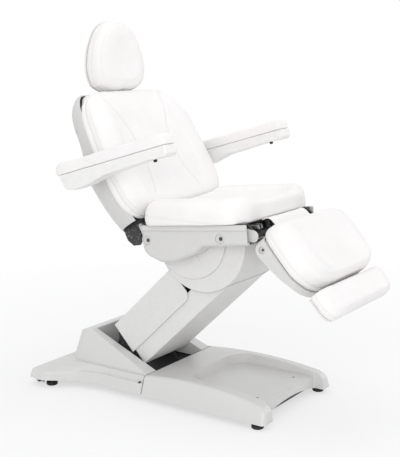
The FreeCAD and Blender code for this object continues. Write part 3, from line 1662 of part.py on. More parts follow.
def back_shell_shape(inset):
    """The back shell's outside, or its inside with the walls taken off."""
    rings = []
    tall = float(cell.back_high - cell.back_low)
    front = float(board_rear_y) - inset * 2
    for rise, wide, deep in SHELL_SHARES:
        shift = 0.0
        if inset and rise == SHELL_SHARES[0][0]:
            shift = -inset
        if inset and rise == SHELL_SHARES[-1][0]:
            shift = -inset
        half = float(cell.back_shell_half) * wide - inset
        depth = float(cell.back_shell_depth) * deep - inset
        rings.append(back_ring(half, depth, front, float(cell.back_low) + tall * rise + shift))
    return lofted(rings)


shell_wall = float(cell.back_shell_wall)
back_shell = back_shell_shape(0).cut(back_shell_shape(shell_wall))
arm_x = cell.arm_outer_x - cell.arm_wide / 2
arm_inner = cell.arm_outer_x - cell.arm_wide
bracket_half = cell.arm_bracket_thick / 2
bracket_low_y = cell.arm_pivot_y - bracket_half


def arm_bracket_shape(spread):
    """The bar that carries an arm's pin out of the back, or the room that it needs."""
    thick = float(bracket_half) + spread
    y, z = float(cell.arm_pivot_y), float(cell.arm_pivot_z)
    outer = float(arm_inner) - float(cell.play)
    bar = side_block(
        [
            (y - thick, z - thick, thick * 0.3),
            (y + thick, z - thick, thick * 0.3),
            (y + thick, z + thick, thick * 0.3),
            (y - thick, z + thick, thick * 0.3),
        ],
        float(rail_out) + float(cell.gap),
        outer,
    )
    return bar


room = [arm_bracket_shape(float(cell.gap))]
room.append(mirrored(room[0]))
for side in (-1, 1):
    room.append(
        rod(
            cell.head_guide_radius,
            cell.back_high,
            (cell.head_rod_x * side, cell.head_rod_y, cell.back_high * 0.62),
            (0, 0, 1),
        )
    )
back_shell = back_shell.cut(Part.makeCompound(room))
button_spot = (cell.back_shell_depth * 0.3, cell.back_high * 0.78)
button_bar = x_rod(cell.button_radius, rail_out, cell.back_shell_half * 1.2, *button_spot)
grown = back_shell_shape(-float(cell.gap) * 4)
buttons = [button_bar.common(grown), mirrored(button_bar).common(grown)]
room += [button_bar, mirrored(button_bar)]
back_shell = back_shell.cut(Part.makeCompound(room[-2:]))
inner_face = back_shell_shape(shell_wall + float(cell.cover_wall))
buttons = [button.cut(inner_face) for button in buttons]
biggest = max(back_shell.Solids, key=lambda solid: solid.Volume)
solid_piece(biggest, "back_shell", back_station)
solid_piece(Part.makeCompound(buttons), "back_buttons", back_station)

for side, name in ((1, "left"), (-1, "right")):
    bracket = arm_bracket_shape(0)
    foot_plate = side_block(
        sharp(
            [
                (frame_front_y, cell.arm_pivot_z - bracket_half * 1.5),
                (cell.arm_pivot_y + bracket_half, cell.arm_pivot_z - bracket_half * 1.5),
                (cell.arm_pivot_y + bracket_half, cell.arm_pivot_z + bracket_half * 1.5),
                (frame_front_y, cell.arm_pivot_z + bracket_half * 1.5),
            ]
        ),
        float(rail_out) + float(cell.gap),
        float(rail_out) + float(cell.lug_plate),
    )
    pin = x_rod(cell.arm_pin_radius, arm_inner - cell.play * 2, arm_inner + cell.arm_wide * 0.8, cell.arm_pivot_y, cell.arm_pivot_z)
    shape = joined([bracket, foot_plate, pin])
    solid_piece(shape if side > 0 else mirrored(shape), f"arm_bracket_{name}", back_station)

back_board_half = cell.back_shell_half * 0.9
back_board = plan_block(
    [
        (-back_board_half, 0, cell.housing_corner),
        (back_board_half, 0, cell.housing_corner),
        (back_board_half * 0.94, cell.back_high * 0.94, cell.housing_corner),
        (-back_board_half * 0.94, cell.back_high * 0.94, cell.housing_corner),
    ],
    0,
    cell.back_board,
)
back_board.rotate(Vector(0, 0, 0), Vector(1, 0, 0), 90)
back_board.translate(Vector(0, float(board_rear_y), float(cell.back_low) * 1.2))
solid_piece(back_board, "back_board", back_station)


def standing(u, v, along):
    """A place on a cushion that stands, counted from its lower end upwards."""
    return Vector(u, -v, along)


def back_half(share):
    """The back cushion's half width along its height."""
    full = float(cell.back_half)
    if share < 0.4:
        return full * (1 - 0.5 * (0.4 - share) ** 2)
    return full * (1 - 0.5 * (share - 0.4) ** 2)


def back_thick(share):
    """The back cushion's thickness along its height."""
    full = float(cell.back_thick)
    if share < 0.24:
        return full * (0.66 + 0.34 * math.sin(math.pi / 2 * share / 0.24))
    return full * (1 - 0.62 * max(share - 0.72, 0) ** 1.3 / 0.28 ** 1.3)


back_pad = soft_pad(
    standing,
    cell.back_low,
    cell.back_high,
    back_half,
    cell.back_board_front + cell.gap,
    back_thick,
    lambda share: float(cell.back_dip) * min(share * 4, 1) * min((1 - share) * 3, 1),
    (cell.back_half * 0.28, cell.back_half * 0.3),
    (0.8, 0.5),
)
solid_piece(back_pad, "back_cushion", back_station)

# Headrest: two rods that slide in guides, a bracket, a shell and an egg-shaped cushion

guide_z = cell.back_high * 0.6
guides, rods = [], []
for side in (-1, 1):
    x = cell.head_rod_x * side
    sleeve = rod(cell.head_guide_radius - cell.gap, cell.head_guide_long, (x, cell.head_rod_y, guide_z), (0, 0, 1))
    bore = rod(cell.head_rod_radius + cell.running_fit, cell.back_high, (x, cell.head_rod_y, 0), (0, 0, 1))
    guides.append(sleeve)
    rods.append(bore)
guide_plate = box(
    cell.head_rod_x * 2,
    cell.back_board,
    cell.head_guide_long,
    (-cell.head_rod_x, cell.head_rod_y - cell.back_board / 2, guide_z),
)
guide_back = box(
    rail_in * 2 + cell.back_tube,
    cell.back_board * 0.75,
    cell.head_guide_long * 0.4,
    (-rail_in - cell.back_tube / 2, frame_rear_y + cell.gap, guide_z + cell.head_guide_long * 0.3),
)
guide_legs = [
    box(
        cell.back_board,
        cell.head_rod_y - frame_rear_y - cell.gap,
        cell.head_guide_long,
        (cell.head_rod_x * share, frame_rear_y + cell.gap, guide_z),
    )
    for share in (-0.6, 0.4)
]
guide_shape = joined(guides + [guide_plate, guide_back] + guide_legs).cut(Part.makeCompound(rods))
solid_piece(guide_shape, "headrest_guides", back_station)

head_rods = [
    rod(cell.head_rod_radius, cell.head_rod_long, (cell.head_rod_x * side, 0, -cell.head_rod_long), (0, 0, 1))
    for side in (-1, 1)
]
cross_bar = x_rod(cell.head_rod_radius, -cell.head_rod_x * 1.3, cell.head_rod_x * 1.3, 0, 0)
solid_piece(joined(head_rods + [cross_bar]), "headrest_rods", rods_station)

head_bracket = new_body("headrest_bracket")
hub_x = cell.head_rod_x * 0.5
knuckle = cell.head_rod_radius * 1.7
shell_rear = cell.head_reach
for side in (-1, 1):
    knuckle_sketch = round_outline(head_bracket, "YZ_Plane", 0, 0, knuckle, hub_x * side)
    pad(head_bracket, knuckle_sketch, cell.lug_plate)
    lug = outline(
        head_bracket,
        "YZ_Plane",
        [
            (-shell_rear - cell.gap, -knuckle * 0.9),
            (0, -knuckle * 0.9),
            (0, knuckle * 0.9),
            (-shell_rear - cell.gap, knuckle * 0.9),
        ],
        hub_x * side,
    )
    pad(head_bracket, lug, cell.lug_plate)
    if side < 0:
        back_plate = outline(
            head_bracket,
            "YZ_Plane",
            [
                (-shell_rear - cell.gap, -knuckle * 3),
                (-shell_rear + cell.cover_wall, -knuckle * 3),
                (-shell_rear + cell.cover_wall, knuckle * 3),
                (-shell_rear - cell.gap, knuckle * 3),
            ],
        )
        pad(head_bracket, back_plate, cell.head_rod_x * 1.6)
hole = round_outline(head_bracket, "YZ_Plane", 0, 0, cell.head_rod_radius + cell.running_fit)
pocket(head_bracket, hole, cell.head_rod_x * 4)
keep(head_bracket, "headrest_bracket", head_station)

EGG_SHARES = [
    (0.0, 0.0),
    (0.54, 0.01),
    (0.86, 0.09),
    (0.985, 0.24),
    (1.0, 0.39),
    (0.92, 0.57),
    (0.73, 0.77),
    (0.43, 0.93),
    (0.0, 1.0),
]


def egg_ring(scale, y):
    """The headrest's egg outline at a depth."""
    low, tall = -float(cell.head_below), float(cell.head_below + cell.head_above)
    middle = low + tall * 0.46
    right = [(float(cell.head_half) * u * scale, middle + (low + tall * v - middle) * scale) for u, v in EGG_SHARES]
    left = [(-u, v) for u, v in reversed(right[1:-1])]
    return section(right + left, lambda u, v: Vector(u, float(y), v))


HEAD_SHELL_SHARES = [(0.0, 0.8), (0.25, 0.92), (0.6, 0.97), (1.0, 0.98)]
HEAD_PAD_SHARES = [(0.0, 0.97), (0.2, 1.0), (0.5, 0.99), (0.76, 0.93), (0.92, 0.8), (1.0, 0.62)]
shell_front = shell_rear + cell.head_shell
shell_start = float(shell_rear) + float(cell.gap) * 2
rings = [
    egg_ring(scale, -(shell_start + (float(shell_front) - shell_start) * share)) for share, scale in HEAD_SHELL_SHARES
]
solid_piece(lofted(rings), "headrest_shell", head_station)
head_start = float(shell_front + cell.gap)
rings = [egg_ring(scale, -(head_start + float(cell.head_thick) * share)) for share, scale in HEAD_PAD_SHARES]
solid_piece(lofted(rings), "headrest_cushion", head_station)

# Arms: a shell with a hub, a pad and a rubber bumper on each side

ARM_SHARES = [
    (-1.0, 1.0, 0.0),
    (0.09, 1.0, 0.0),
    (0.09, 0.5, 0.2),
    (0.055, -1.25, 0.4),
    (-0.02, -1.62, 0.4),
    (-0.17, -1.46, 0.6),
    (-0.36, -0.76, 0.6),
    (-0.8, -0.48, 0.6),
    (-0.97, -0.6, 0.3),
    (-1.0, -0.2, 0.2),
]


def arm_shell_shape():
    """An arm's moulded shell with the bore for its pin."""
    corners = []
    for along, rise, bend in ARM_SHARES:
        corners.append((float(cell.arm_front) * along, float(cell.arm_seam) * rise, float(cell.arm_hub) * bend))
    arm = side_block(corners, arm_inner, cell.arm_outer_x)
    flank = (float(arm_inner), float(cell.arm_outer_x))

    def wanted(edge):
        bounds = edge.BoundBox
        on_side = bounds.XLength < 1e-3 and min(abs(bounds.XMin - x) for x in flank) < 1e-3
        return on_side and bounds.ZMin < float(cell.arm_seam) - 1

    arm = rounded(arm, cell.soft_edge * 0.7, wanted)
    bore = x_rod(
        cell.arm_pin_radius + cell.running_fit, arm_inner - cell.play, arm_inner + cell.arm_wide * 0.8 + cell.gap, 0, 0
    )
    return arm.cut(bore)


def on_arm(u, v, along):
    """A place on the left arm's pad, counted from its front end backwards."""
    return Vector(float(arm_x) + u, along, v)


arm_pad_shape = soft_pad(
    on_arm,
    -cell.arm_front - cell.gap * 5,
    cell.arm_rear,
    lambda share: float(cell.arm_wide) / 2 * 1.02,
    cell.arm_seam + cell.gap,
    lambda share: float(cell.arm_pad) * (1.0 + 0.08 * share),
    lambda share: float(cell.gap),
    (cell.arm_wide * 0.16, cell.arm_wide * 0.34),
    (0.5, 0.8),
)
bumper_y = -cell.arm_front * 0.83
bumper_top = -cell.arm_seam * 0.5
bumper = rod(
    cell.bumper_radius,
    cell.bumper_high,
    (arm_x, bumper_y, bumper_top - cell.bumper_high),
    (0, 0, 1),
)
bumper = bumper.makeFillet(float(cell.bumper_radius) * 0.35, [bumper.Edges[2]])
shell_shape = arm_shell_shape()
bumper = bumper.cut(shell_shape)
for name, turn in (("left", lambda shape: shape), ("right", mirrored)):
    solid_piece(turn(shell_shape), f"arm_shell_{name}", arm_station)
    solid_piece(turn(arm_pad_shape), f"arm_pad_{name}", arm_station)
    solid_piece(turn(bumper), f"arm_bumper_{name}", arm_station)

# Leg rest: a frame on the front hinge, a shell, a board and a cushion

leg_frame = new_body("leg_frame")
leg_board_low = cell.leg_seam - cell.gap - cell.leg_board
leg_rail_top = leg_board_low - cell.gap
leg_rail_low = leg_rail_top - cell.leg_tube
tube_half = cell.hinge_lug_x - cell.lug_plate / 2 - cell.play
pivot_tube = round_outline(leg_frame, "YZ_Plane", 0, 0, cell.leg_tube_radius)
pad(leg_frame, pivot_tube, tube_half * 2)
leg_rail_half = cell.leg_tube / 2
for side in (-1, 1):
    low_x = cell.leg_rail_x * side - leg_rail_half
    high_x = cell.leg_rail_x * side + leg_rail_half
    flat = outline(leg_frame, "XY_Plane", rectangle(low_x, high_x, -cell.leg_end * 0.9, 0), leg_rail_low)
    pad(leg_frame, flat, cell.leg_tube, middle=False)
    root = rectangle(low_x, high_x, -cell.leg_tube_radius, cell.leg_tube_radius * 0.7)
    pad(leg_frame, outline(leg_frame, "XY_Plane", root), leg_rail_top, middle=False)
rail_span = cell.leg_rail_x + leg_rail_half
for share in (0.45, 0.82):
    low_y = -cell.leg_end * share - cell.leg_tube
    flat = outline(leg_frame, "XY_Plane", rectangle(-rail_span, rail_span, low_y, low_y + cell.leg_tube), leg_rail_low)
    pad(leg_frame, flat, cell.leg_tube, middle=False)
crank_angle = math.radians(46)
leg_x = -flank_x
leg_tip = (cell.crank * math.sin(crank_angle), cell.crank * math.cos(crank_angle))
crank_half = cell.leg_tube_radius * 0.8
arm_out = (math.cos(crank_angle), -math.sin(crank_angle))
crank_points = [
    (-crank_half * arm_out[0], -crank_half * arm_out[1]),
    (crank_half * arm_out[0], crank_half * arm_out[1]),
    (leg_tip[0] * 1.35 + crank_half * arm_out[0], leg_tip[1] * 1.35 + crank_half * arm_out[1]),
    (leg_tip[0] * 1.35 - crank_half * arm_out[0], leg_tip[1] * 1.35 - crank_half * arm_out[1]),
]
crank_sketch = outline(leg_frame, "YZ_Plane", crank_points, leg_x)
pad(leg_frame, crank_sketch, cell.lug_thick)
hole = round_outline(leg_frame, "YZ_Plane", 0, 0, cell.leg_pin_radius + cell.running_fit)
pocket(leg_frame, hole, frame_half * 3)
rod_z = cell.leg_seam - cell.foot_rod_drop
for side in (-1, 1):
    hole = round_outline(leg_frame, "XZ_Plane", cell.foot_rod_x * side, rod_z, cell.foot_rod_radius + cell.running_fit)
    pocket(leg_frame, hole, cell.leg_end * 3)
keep(leg_frame, "leg_frame", leg_station)

LEG_SHELL_SHARES = [
    (0.1, 1.0, 0.0),
    (0.1, 0.2, 0.3),
    (0.17, -0.36, 0.5),
    (0.26, -0.42, 0.6),
    (0.44, -0.24, 0.8),
    (0.76, 0.28, 0.8),
    (1.0, 0.3, 0.1),
    (1.0, 1.0, 0.0),
]


def leg_shell_block(inset, lift):
    """The leg rest shell's outside, or its inside with the walls taken off."""
    corners = []
    seam, end = float(cell.leg_seam) - float(cell.gap), float(cell.leg_end)
    for along, rise, bend in LEG_SHELL_SHARES:
        y = -end * along
        y += inset if along > 0.5 else -inset if along <= 0.1 else 0
        z = seam * rise
        z = seam + lift if rise == LEG_SHELL_SHARES[0][1] else z + inset
        corners.append((y, z, float(cell.housing_corner) * bend))
    half = float(cell.leg_half) + float(cell.gap) * 4 - inset
    side = side_block(corners, -half, half)
    near, far = float(cell.leg_near_corner) * 0.5 - inset, float(cell.leg_far_corner) - inset
    front, start = -end + inset, -end * LEG_SHELL_SHARES[0][0] - inset
    plan = plan_block([(-half, front, far), (half, front, far), (half, start, near), (-half, start, near)], -end, end)
    return side.common(plan)


leg_shell = leg_shell_block(0, 0).cut(leg_shell_block(wall, float(cell.play)))
leg_dimple = (-cell.leg_end * 0.22, cell.leg_seam * 0.28)
dimple_radius = float(cell.dimple_radius) * 0.7
leg_side = float(cell.leg_half) + float(cell.gap) * 4
backing = x_rod(dimple_radius + wall, leg_side - float(cell.dimple_depth) - wall, leg_side - 1, *leg_dimple)
dip = x_rod(dimple_radius, leg_side - float(cell.dimple_depth), leg_side * 2, *leg_dimple)
leg_shell = leg_shell.fuse([backing, mirrored(backing)]).cut(Part.makeCompound([dip, mirrored(dip)]))
rod_room = [
    rod(
        cell.foot_rod_radius + cell.cover_wall / 4,
        cell.leg_end,
        (cell.foot_rod_x * side, -cell.leg_end * 1.5, rod_z),
        (0, 1, 0),
    )
    for side in (-1, 1)
]
leg_shell = leg_shell.cut(Part.makeCompound(rod_room))
rail_room = [
    box(
        cell.leg_tube + cell.gap * 4,
        cell.leg_tube * 2,
        cell.leg_tube + cell.gap * 4,
        (
            cell.leg_rail_x * side - leg_rail_half - cell.gap * 2,
            -cell.leg_end * LEG_SHELL_SHARES[0][0] - cell.leg_tube,
            leg_rail_low - cell.gap * 2,
        ),
    )
    for side in (-1, 1)
]
leg_shell = leg_shell.cut(Part.makeCompound(rail_room))
solid_piece(max(leg_shell.Solids, key=lambda solid: solid.Volume), "leg_shell", leg_station)
leg_screw_x = leg_side - float(cell.dimple_depth) + float(cell.gap)
leg_screw = x_rod(cell.cover_screw_radius, leg_screw_x, leg_screw_x + float(cell.cover_wall) / 2, *leg_dimple)
solid_piece(Part.makeCompound([leg_screw, mirrored(leg_screw)]), "leg_screws", leg_station)


def leg_board_shape():
    """The board inside the leg rest's shell."""
    half = float(cell.leg_half) - wall * 1.2
    near, far = float(cell.leg_near_corner) * 0.6, float(cell.leg_far_corner) - wall * 0.8
    front, start = -float(cell.leg_end) + wall * 1.4, -float(cell.leg_end) * 0.1 - wall * 1.4
    return plan_block(
        [(-half, front, far), (half, front, far), (half, start, near), (-half, start, near)],
        leg_board_low,
        cell.leg_seam - cell.gap,
    )


solid_piece(leg_board_shape(), "leg_board", leg_station)
leg_pad = soft_pad(
    flat_along_y,
    -cell.leg_end,
    -cell.leg_start,
    lambda share: float(cell.leg_half) * (0.985 + 0.045 * math.sin(math.pi * share)),
    cell.leg_seam,
    lambda share: float(cell.leg_thick),
    lambda share: float(cell.seat_dip) * 0.3,
    (cell.leg_far_corner, cell.leg_near_corner),
    (0.5, 0.75),
)
solid_piece(leg_pad, "leg_cushion", leg_station)

# Foot pad: rods that pull out of the leg rest, a board and a cushion

foot_rods = [
    rod(
        cell.foot_rod_radius,
        cell.foot_rod_long + cell.foot_deep * 0.7,
        (cell.foot_rod_x * side, -cell.foot_deep * 0.7, -cell.foot_rod_drop - foot_lift),
        (0, 1, 0),
    )
    for side in (-1, 1)
]
foot_plate = box(
    cell.foot_rod_x * 2.6,
    cell.foot_deep * 0.5,
    cell.foot_rod_drop,
    (-cell.foot_rod_x * 1.3, -cell.foot_deep * 0.7, -cell.foot_rod_drop - foot_lift),
)
solid_piece(joined(foot_rods + [foot_plate]), "foot_rods", foot_station)
foot_corner = cell.foot_deep * 0.5


def foot_board_shape():
    """The board under the foot cushion."""
    half = float(cell.foot_half) * 0.95
    front, rear = -float(cell.foot_deep) * 0.94, -float(cell.foot_deep) * 0.06
    corner = float(foot_corner) * 0.8
    return plan_block(
        [(-half, front, corner), (half, front, corner), (half, rear, wall), (-half, rear, wall)],
        -cell.leg_board - cell.gap,
        -cell.gap,
    )


solid_piece(foot_board_shape(), "foot_board", foot_station)
foot_pad = soft_pad(
    flat_along_y,
    -cell.foot_deep,
    0,
    lambda share: float(cell.foot_half),
    0,
    lambda share: float(cell.foot_thick),
    lambda share: float(cell.gap),
    (foot_corner, foot_corner * 0.24),
    (0.45, 0.3),
)
solid_piece(foot_pad, "foot_cushion", foot_station)

# Actuators: a motor body with a tube, and a rod whose fork straddles a crank plate


def make_actuator(name, station, x, start, stop, bore_radius, pulled_in):
    """A linear actuator from a pin to a crank plate, as a body and a rod."""
    run = Vector(0, float(stop[0]) - float(start[0]), float(stop[1]) - float(start[1]))
    long = run.Length
    angle = math.degrees(math.atan2(run.z, run.y))
    eye = x_rod(cell.eye_radius, -cell.eye_thick / 2, cell.eye_thick / 2, 0, 0)
    neck = box(cell.eye_thick, cell.motor_radius * 1.4, cell.eye_thick, (-cell.eye_thick / 2, 0, -cell.eye_thick / 2))
    motor_start, motor_end, tube_end = float(cell.motor_radius) * 1.2, long * 0.35, long * 0.72
    motor = rod(cell.motor_radius, motor_end - motor_start, (0, motor_start, 0), (0, 1, 0))
    barrel = rod(cell.tube_radius, tube_end - motor_end, (0, motor_end, 0), (0, 1, 0))
    case = joined([eye, neck, motor, barrel])
    case = case.cut(x_rod(bore_radius, -cell.motor_radius, cell.motor_radius, 0, 0))
    case = case.cut(rod(cell.rod_radius + cell.running_fit, tube_end, (0, motor_end, 0), (0, 1, 0)))
    rod_start = motor_end + pulled_in
    yoke_y = long - float(cell.eye_radius) * 2.1
    prong_x = cell.lug_thick / 2 + cell.prong_gap
    prong_out = prong_x + cell.prong_thick
    fork_half = cell.eye_radius * 0.52
    bar = rod(cell.rod_radius, yoke_y - rod_start + float(cell.play), (0, rod_start, 0), (0, 1, 0))
    yoke = box(prong_out * 2, cell.play * 2, fork_half * 2, (-prong_out, yoke_y, -fork_half))
    prongs = []
    for low_x in (prong_x, -prong_out):
        prongs.append(
            box(cell.prong_thick, long - yoke_y + float(fork_half), fork_half * 2, (low_x, yoke_y, -fork_half))
        )
    fork = joined([bar, yoke] + prongs)
    for shape, part_name in ((case, "body"), (fork, "rod")):
        shape.rotate(Vector(0, 0, 0), Vector(1, 0, 0), angle - 0)
        shape.translate(Vector(float(x), float(start[0]), float(start[1])))
        solid_piece(shape, f"{name}_actuator_{part_name}", station)


def carried(station, parent, y, z):
    """A station's point, in side-view coordinates of another station."""
    spot = parent.inverse().multVec(station.multVec(Vector(0, float(y), float(z))))
    return spot.y, spot.z


lift_tip = carried(carriage_station, base_station, cell.upper_pivot_dy, cell.upper_pivot_dz)
tilt_tip = carried(seat_station, carriage_station, crank_y, crank_z)
back_tip_local = tuple(cell.back_crank * share for share in RECLINE_TIP_SHARES)
back_tip = carried(back_station, seat_station, *back_tip_local)
leg_tip_at = carried(leg_station, seat_station, *leg_tip)
fit = cell.running_fit
make_actuator(
    "lift",
    base_station,
    lift_x,
    (cell.link_pivot_y, cell.link_pivot_z),
    lift_tip,
    cell.link_pin_radius + fit,
    float(cell.link_length) * 0.16,
)
make_actuator(
    "tilt",
    carriage_station,
    tilt_x,
    (cell.anchor_dy, cell.anchor_dz),
    tilt_tip,
    cell.link_tube_radius + fit,
    float(cell.play) * 5,
)
make_actuator("back", seat_station, -leg_x, back_anchor, back_tip, cell.leg_pin_radius + fit, float(cell.back_crank))
make_actuator("leg", seat_station, leg_x, leg_anchor, leg_tip_at, cell.leg_pin_radius + fit, float(cell.crank))

# The gap flap: a soft strip that hangs between the seat cushion and the leg rest


def flap_ring(spread):
    """The flap's bow in the side view, at a distance from its middle."""
    y, z = leg_y, leg_z
    hang = float(cell.leg_seam)
    seat_end = float(cell.seat_front) * (1 - SEAT_CORNER_SHARE * PAD_STEP_SHARES[0])
    leg_end = float(cell.leg_start) + float(cell.leg_near_corner) * PAD_STEP_SHARES[0]
    away = float(cell.gap) * 2 + spread
    start = (-seat_end - away, float(board_top))
    end_spot = carried(leg_station, seat_station, away - leg_end, hang * 1.3)
    middle = ((start[0] + end_spot[0]) / 2, float(z) + hang * 0.95 + spread)
    return [start, middle, end_spot]


thin = float(cell.gap) * 2
flap_half = cell.leg_rail_x + cell.leg_tube_radius
place = upright(-flap_half)
near_bow, far_bow = flap_ring(-thin / 2), flap_ring(thin / 2)
flap_wire = Part.Wire(
    [
        Part.Arc(*(place(*spot) for spot in near_bow)).toShape(),
        Part.LineSegment(place(*near_bow[2]), place(*far_bow[2])).toShape(),
        Part.Arc(*(place(*spot) for spot in reversed(far_bow))).toShape(),
        Part.LineSegment(place(*far_bow[0]), place(*near_bow[0])).toShape(),
    ]
)
flap = Part.Face(flap_wire).extrude(Vector(float(flap_half) * 2, 0, 0))
solid_piece(flap, "gap_flap", seat_station)

# Check every piece and write it out

doc.recompute()
for label, piece in pieces.items():
    faulty = any(word in state for state in piece.State for word in ("Invalid", "Error"))
    if faulty or piece.Shape.isNull() or not piece.Shape.isValid():
        raise ValueError(f"{label} is not a sound shape")

os.makedirs("parts", exist_ok=True)
for label, piece in pieces.items():
    piece.Shape.exportStep(f"parts/{label}.step")
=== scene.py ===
"""Dresses the podiatry chair: sewn vinyl cushions, moulded covers, steel, rubber and a plain studio."""

import json
import logging
import math
from dataclasses import dataclass, field
from enum import Enum
from typing import Iterable, Optional, Sequence, Union

import bpy
import numpy as np
from mathutils import Matrix, Vector, noise
from mathutils.bvhtree import BVHTree
from mathutils.geometry import convex_hull_2d
from mathutils.kdtree import KDTree


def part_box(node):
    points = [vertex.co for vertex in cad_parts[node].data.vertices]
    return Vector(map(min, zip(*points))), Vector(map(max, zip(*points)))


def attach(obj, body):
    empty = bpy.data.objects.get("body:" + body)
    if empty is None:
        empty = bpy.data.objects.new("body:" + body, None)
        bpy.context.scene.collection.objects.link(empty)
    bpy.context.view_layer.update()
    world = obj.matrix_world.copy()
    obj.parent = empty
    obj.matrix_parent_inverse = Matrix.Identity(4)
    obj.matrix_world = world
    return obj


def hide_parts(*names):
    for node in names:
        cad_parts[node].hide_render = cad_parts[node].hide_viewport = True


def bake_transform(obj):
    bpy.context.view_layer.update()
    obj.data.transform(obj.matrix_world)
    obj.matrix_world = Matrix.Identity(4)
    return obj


log = logging.getLogger("chair")
Colour = tuple[float, float, float]
Place = tuple[float, float, float]
Pair = tuple[float, float]
Number = Union[float, int]
Loop = list[Vector]
Face = tuple[int, ...]

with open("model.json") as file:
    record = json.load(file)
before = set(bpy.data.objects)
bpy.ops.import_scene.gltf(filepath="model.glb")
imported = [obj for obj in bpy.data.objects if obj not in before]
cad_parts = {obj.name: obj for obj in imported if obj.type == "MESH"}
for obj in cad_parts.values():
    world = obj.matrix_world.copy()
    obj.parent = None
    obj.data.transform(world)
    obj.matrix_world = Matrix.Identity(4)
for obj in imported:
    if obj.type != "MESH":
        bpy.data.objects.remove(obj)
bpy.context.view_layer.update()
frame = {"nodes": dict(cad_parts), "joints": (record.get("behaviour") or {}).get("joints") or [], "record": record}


class Wire:
    """A shader socket that takes part in arithmetic."""

    def __init__(self, bench: "Bench", socket: bpy.types.NodeSocket) -> None:
        """Hold one output socket of a bench's node tree."""
        self.bench = bench
        self.socket = socket

    def _maths(self, operation: str, first: Union["Wire", Number], second: Union["Wire", Number]) -> "Wire":
        """Add a Math node for two values."""
        return self.bench.node("ShaderNodeMath", {"operation": operation}, {0: first, 1: second})

    def __add__(self, other: Union["Wire", Number]) -> "Wire":
        """Sum."""
        return self._maths("ADD", self, other)

    def __radd__(self, other: Number) -> "Wire":
        """Sum with a number first."""
        return self._maths("ADD", other, self)

    def __sub__(self, other: Union["Wire", Number]) -> "Wire":
        """Difference."""
        return self._maths("SUBTRACT", self, other)

    def __rsub__(self, other: Number) -> "Wire":
        """Difference with a number first."""
        return self._maths("SUBTRACT", other, self)

    def __mul__(self, other: Union["Wire", Number]) -> "Wire":
        """Product."""
        return self._maths("MULTIPLY", self, other)

    def __rmul__(self, other: Number) -> "Wire":
        """Product with a number first."""
        return self._maths("MULTIPLY", other, self)

    def stretch(self, low: float, high: float) -> "Wire":
        """Map low..high to a clamped 0..1."""
        settings = {"clamp": True}
        return self.bench.node("ShaderNodeMapRange", settings, {0: self, 1: low, 2: high, 3: 0.0, 4: 1.0})


class Bench:
    """Adds nodes to one node tree."""

    def __init__(self, tree: bpy.types.NodeTree) -> None:
        """Take over the node tree of a material or a world and empty it."""
        self.tree = tree
        self.tree.nodes.clear()

    def feed(self, socket: bpy.types.NodeSocket, value: object) -> None:
        """Link a Wire to an input, or set the input to a plain value.

        Args:
            socket: the input.
            value: a Wire, a number, a colour or a vector.
        """
        if isinstance(value, Wire):
            self.tree.links.new(value.socket, socket)
        elif isinstance(value, tuple) and socket.type == "RGBA":
            socket.default_value = (*value, 1.0)
        else:
            socket.default_value = value

    def node(self, kind: str, settings: dict, inputs: dict, output: Union[int, str] = 0) -> Wire:
        """Add a node, set it up, then feed its sockets.

        Args:
            kind: the node's type.
            settings: its properties.
            inputs: socket names or numbers and what they get.
            output: which output to hand back.

        Returns:
            The chosen output.
        """
        made = self.tree.nodes.new(kind)
        for key, value in settings.items():
            setattr(made, key, value)
        for key, value in inputs.items():
            self.feed(made.inputs[key], value)
        return Wire(self, made.outputs[output])

    def show(self, kind: str, surface: Wire) -> None:
        """Link the shader that the tree makes to an output node of a kind."""
        self.feed(self.tree.nodes.new(kind).inputs["Surface"], surface)

    def place(self) -> Wire:
        """The point on the piece, in its own coordinates."""
        return self.node("ShaderNodeTexCoord", {}, {}, "Object")

    def scaled(self, at: Wire, size: Place) -> Wire:
        """Stretch coordinates by a scale along X, Y and Z."""
        return self.node("ShaderNodeVectorMath", {"operation": "MULTIPLY"}, {0: at, 1: size})

    def cloud(self, at: Wire, size: float, detail: float = 3.0, rough: float = 0.55) -> Wire:
        """Smooth noise about 0.5: its size is in features per metre, its detail in octaves."""
        inputs = {"Vector": at, "Scale": size, "Detail": detail, "Roughness": rough}
        return self.node("ShaderNodeTexNoise", {}, inputs)

    def blend(self, share: Union[Wire, float], low: Union[Wire, Colour], high: Union[Wire, Colour]) -> Wire:
        """Mix two colours: a share of 0 gives low and 1 gives high."""
        return self.node("ShaderNodeMix", {"data_type": "RGBA"}, {0: share, 6: low, 7: high}, 2)

    def bump(self, height: Wire, depth: float, strength: float, under: Optional[Wire] = None) -> Wire:
        """Turn a height into a normal.

        Args:
            height: the height, 0 to 1.
            depth: how deep 1 is, in metres.
            strength: how much of it shows.
            under: a finer normal that this one bends.

        Returns:
            The normal.
        """
        inputs = {"Height": height, "Distance": depth, "Strength": strength}
        if under is not None:
            inputs["Normal"] = under
        return self.node("ShaderNodeBump", {}, inputs)

    def edges(self) -> Wire:
        """A mask that is 1 along outer edges."""
        return self.node("ShaderNodeNewGeometry", {}, {}, "Pointiness").stretch(0.53, 0.62)

    def seen(self) -> Wire:
        """A mask for rays that show the backdrop itself or its mirror image."""
        names = ("Is Camera Ray", "Is Glossy Ray", "Is Transmission Ray")
        straight, bounced, through = (self.node("ShaderNodeLightPath", {}, {}, name) for name in names)
        total = straight + bounced + through
        return self.node("ShaderNodeMath", {"operation": "MINIMUM"}, {0: total, 1: 1.0})


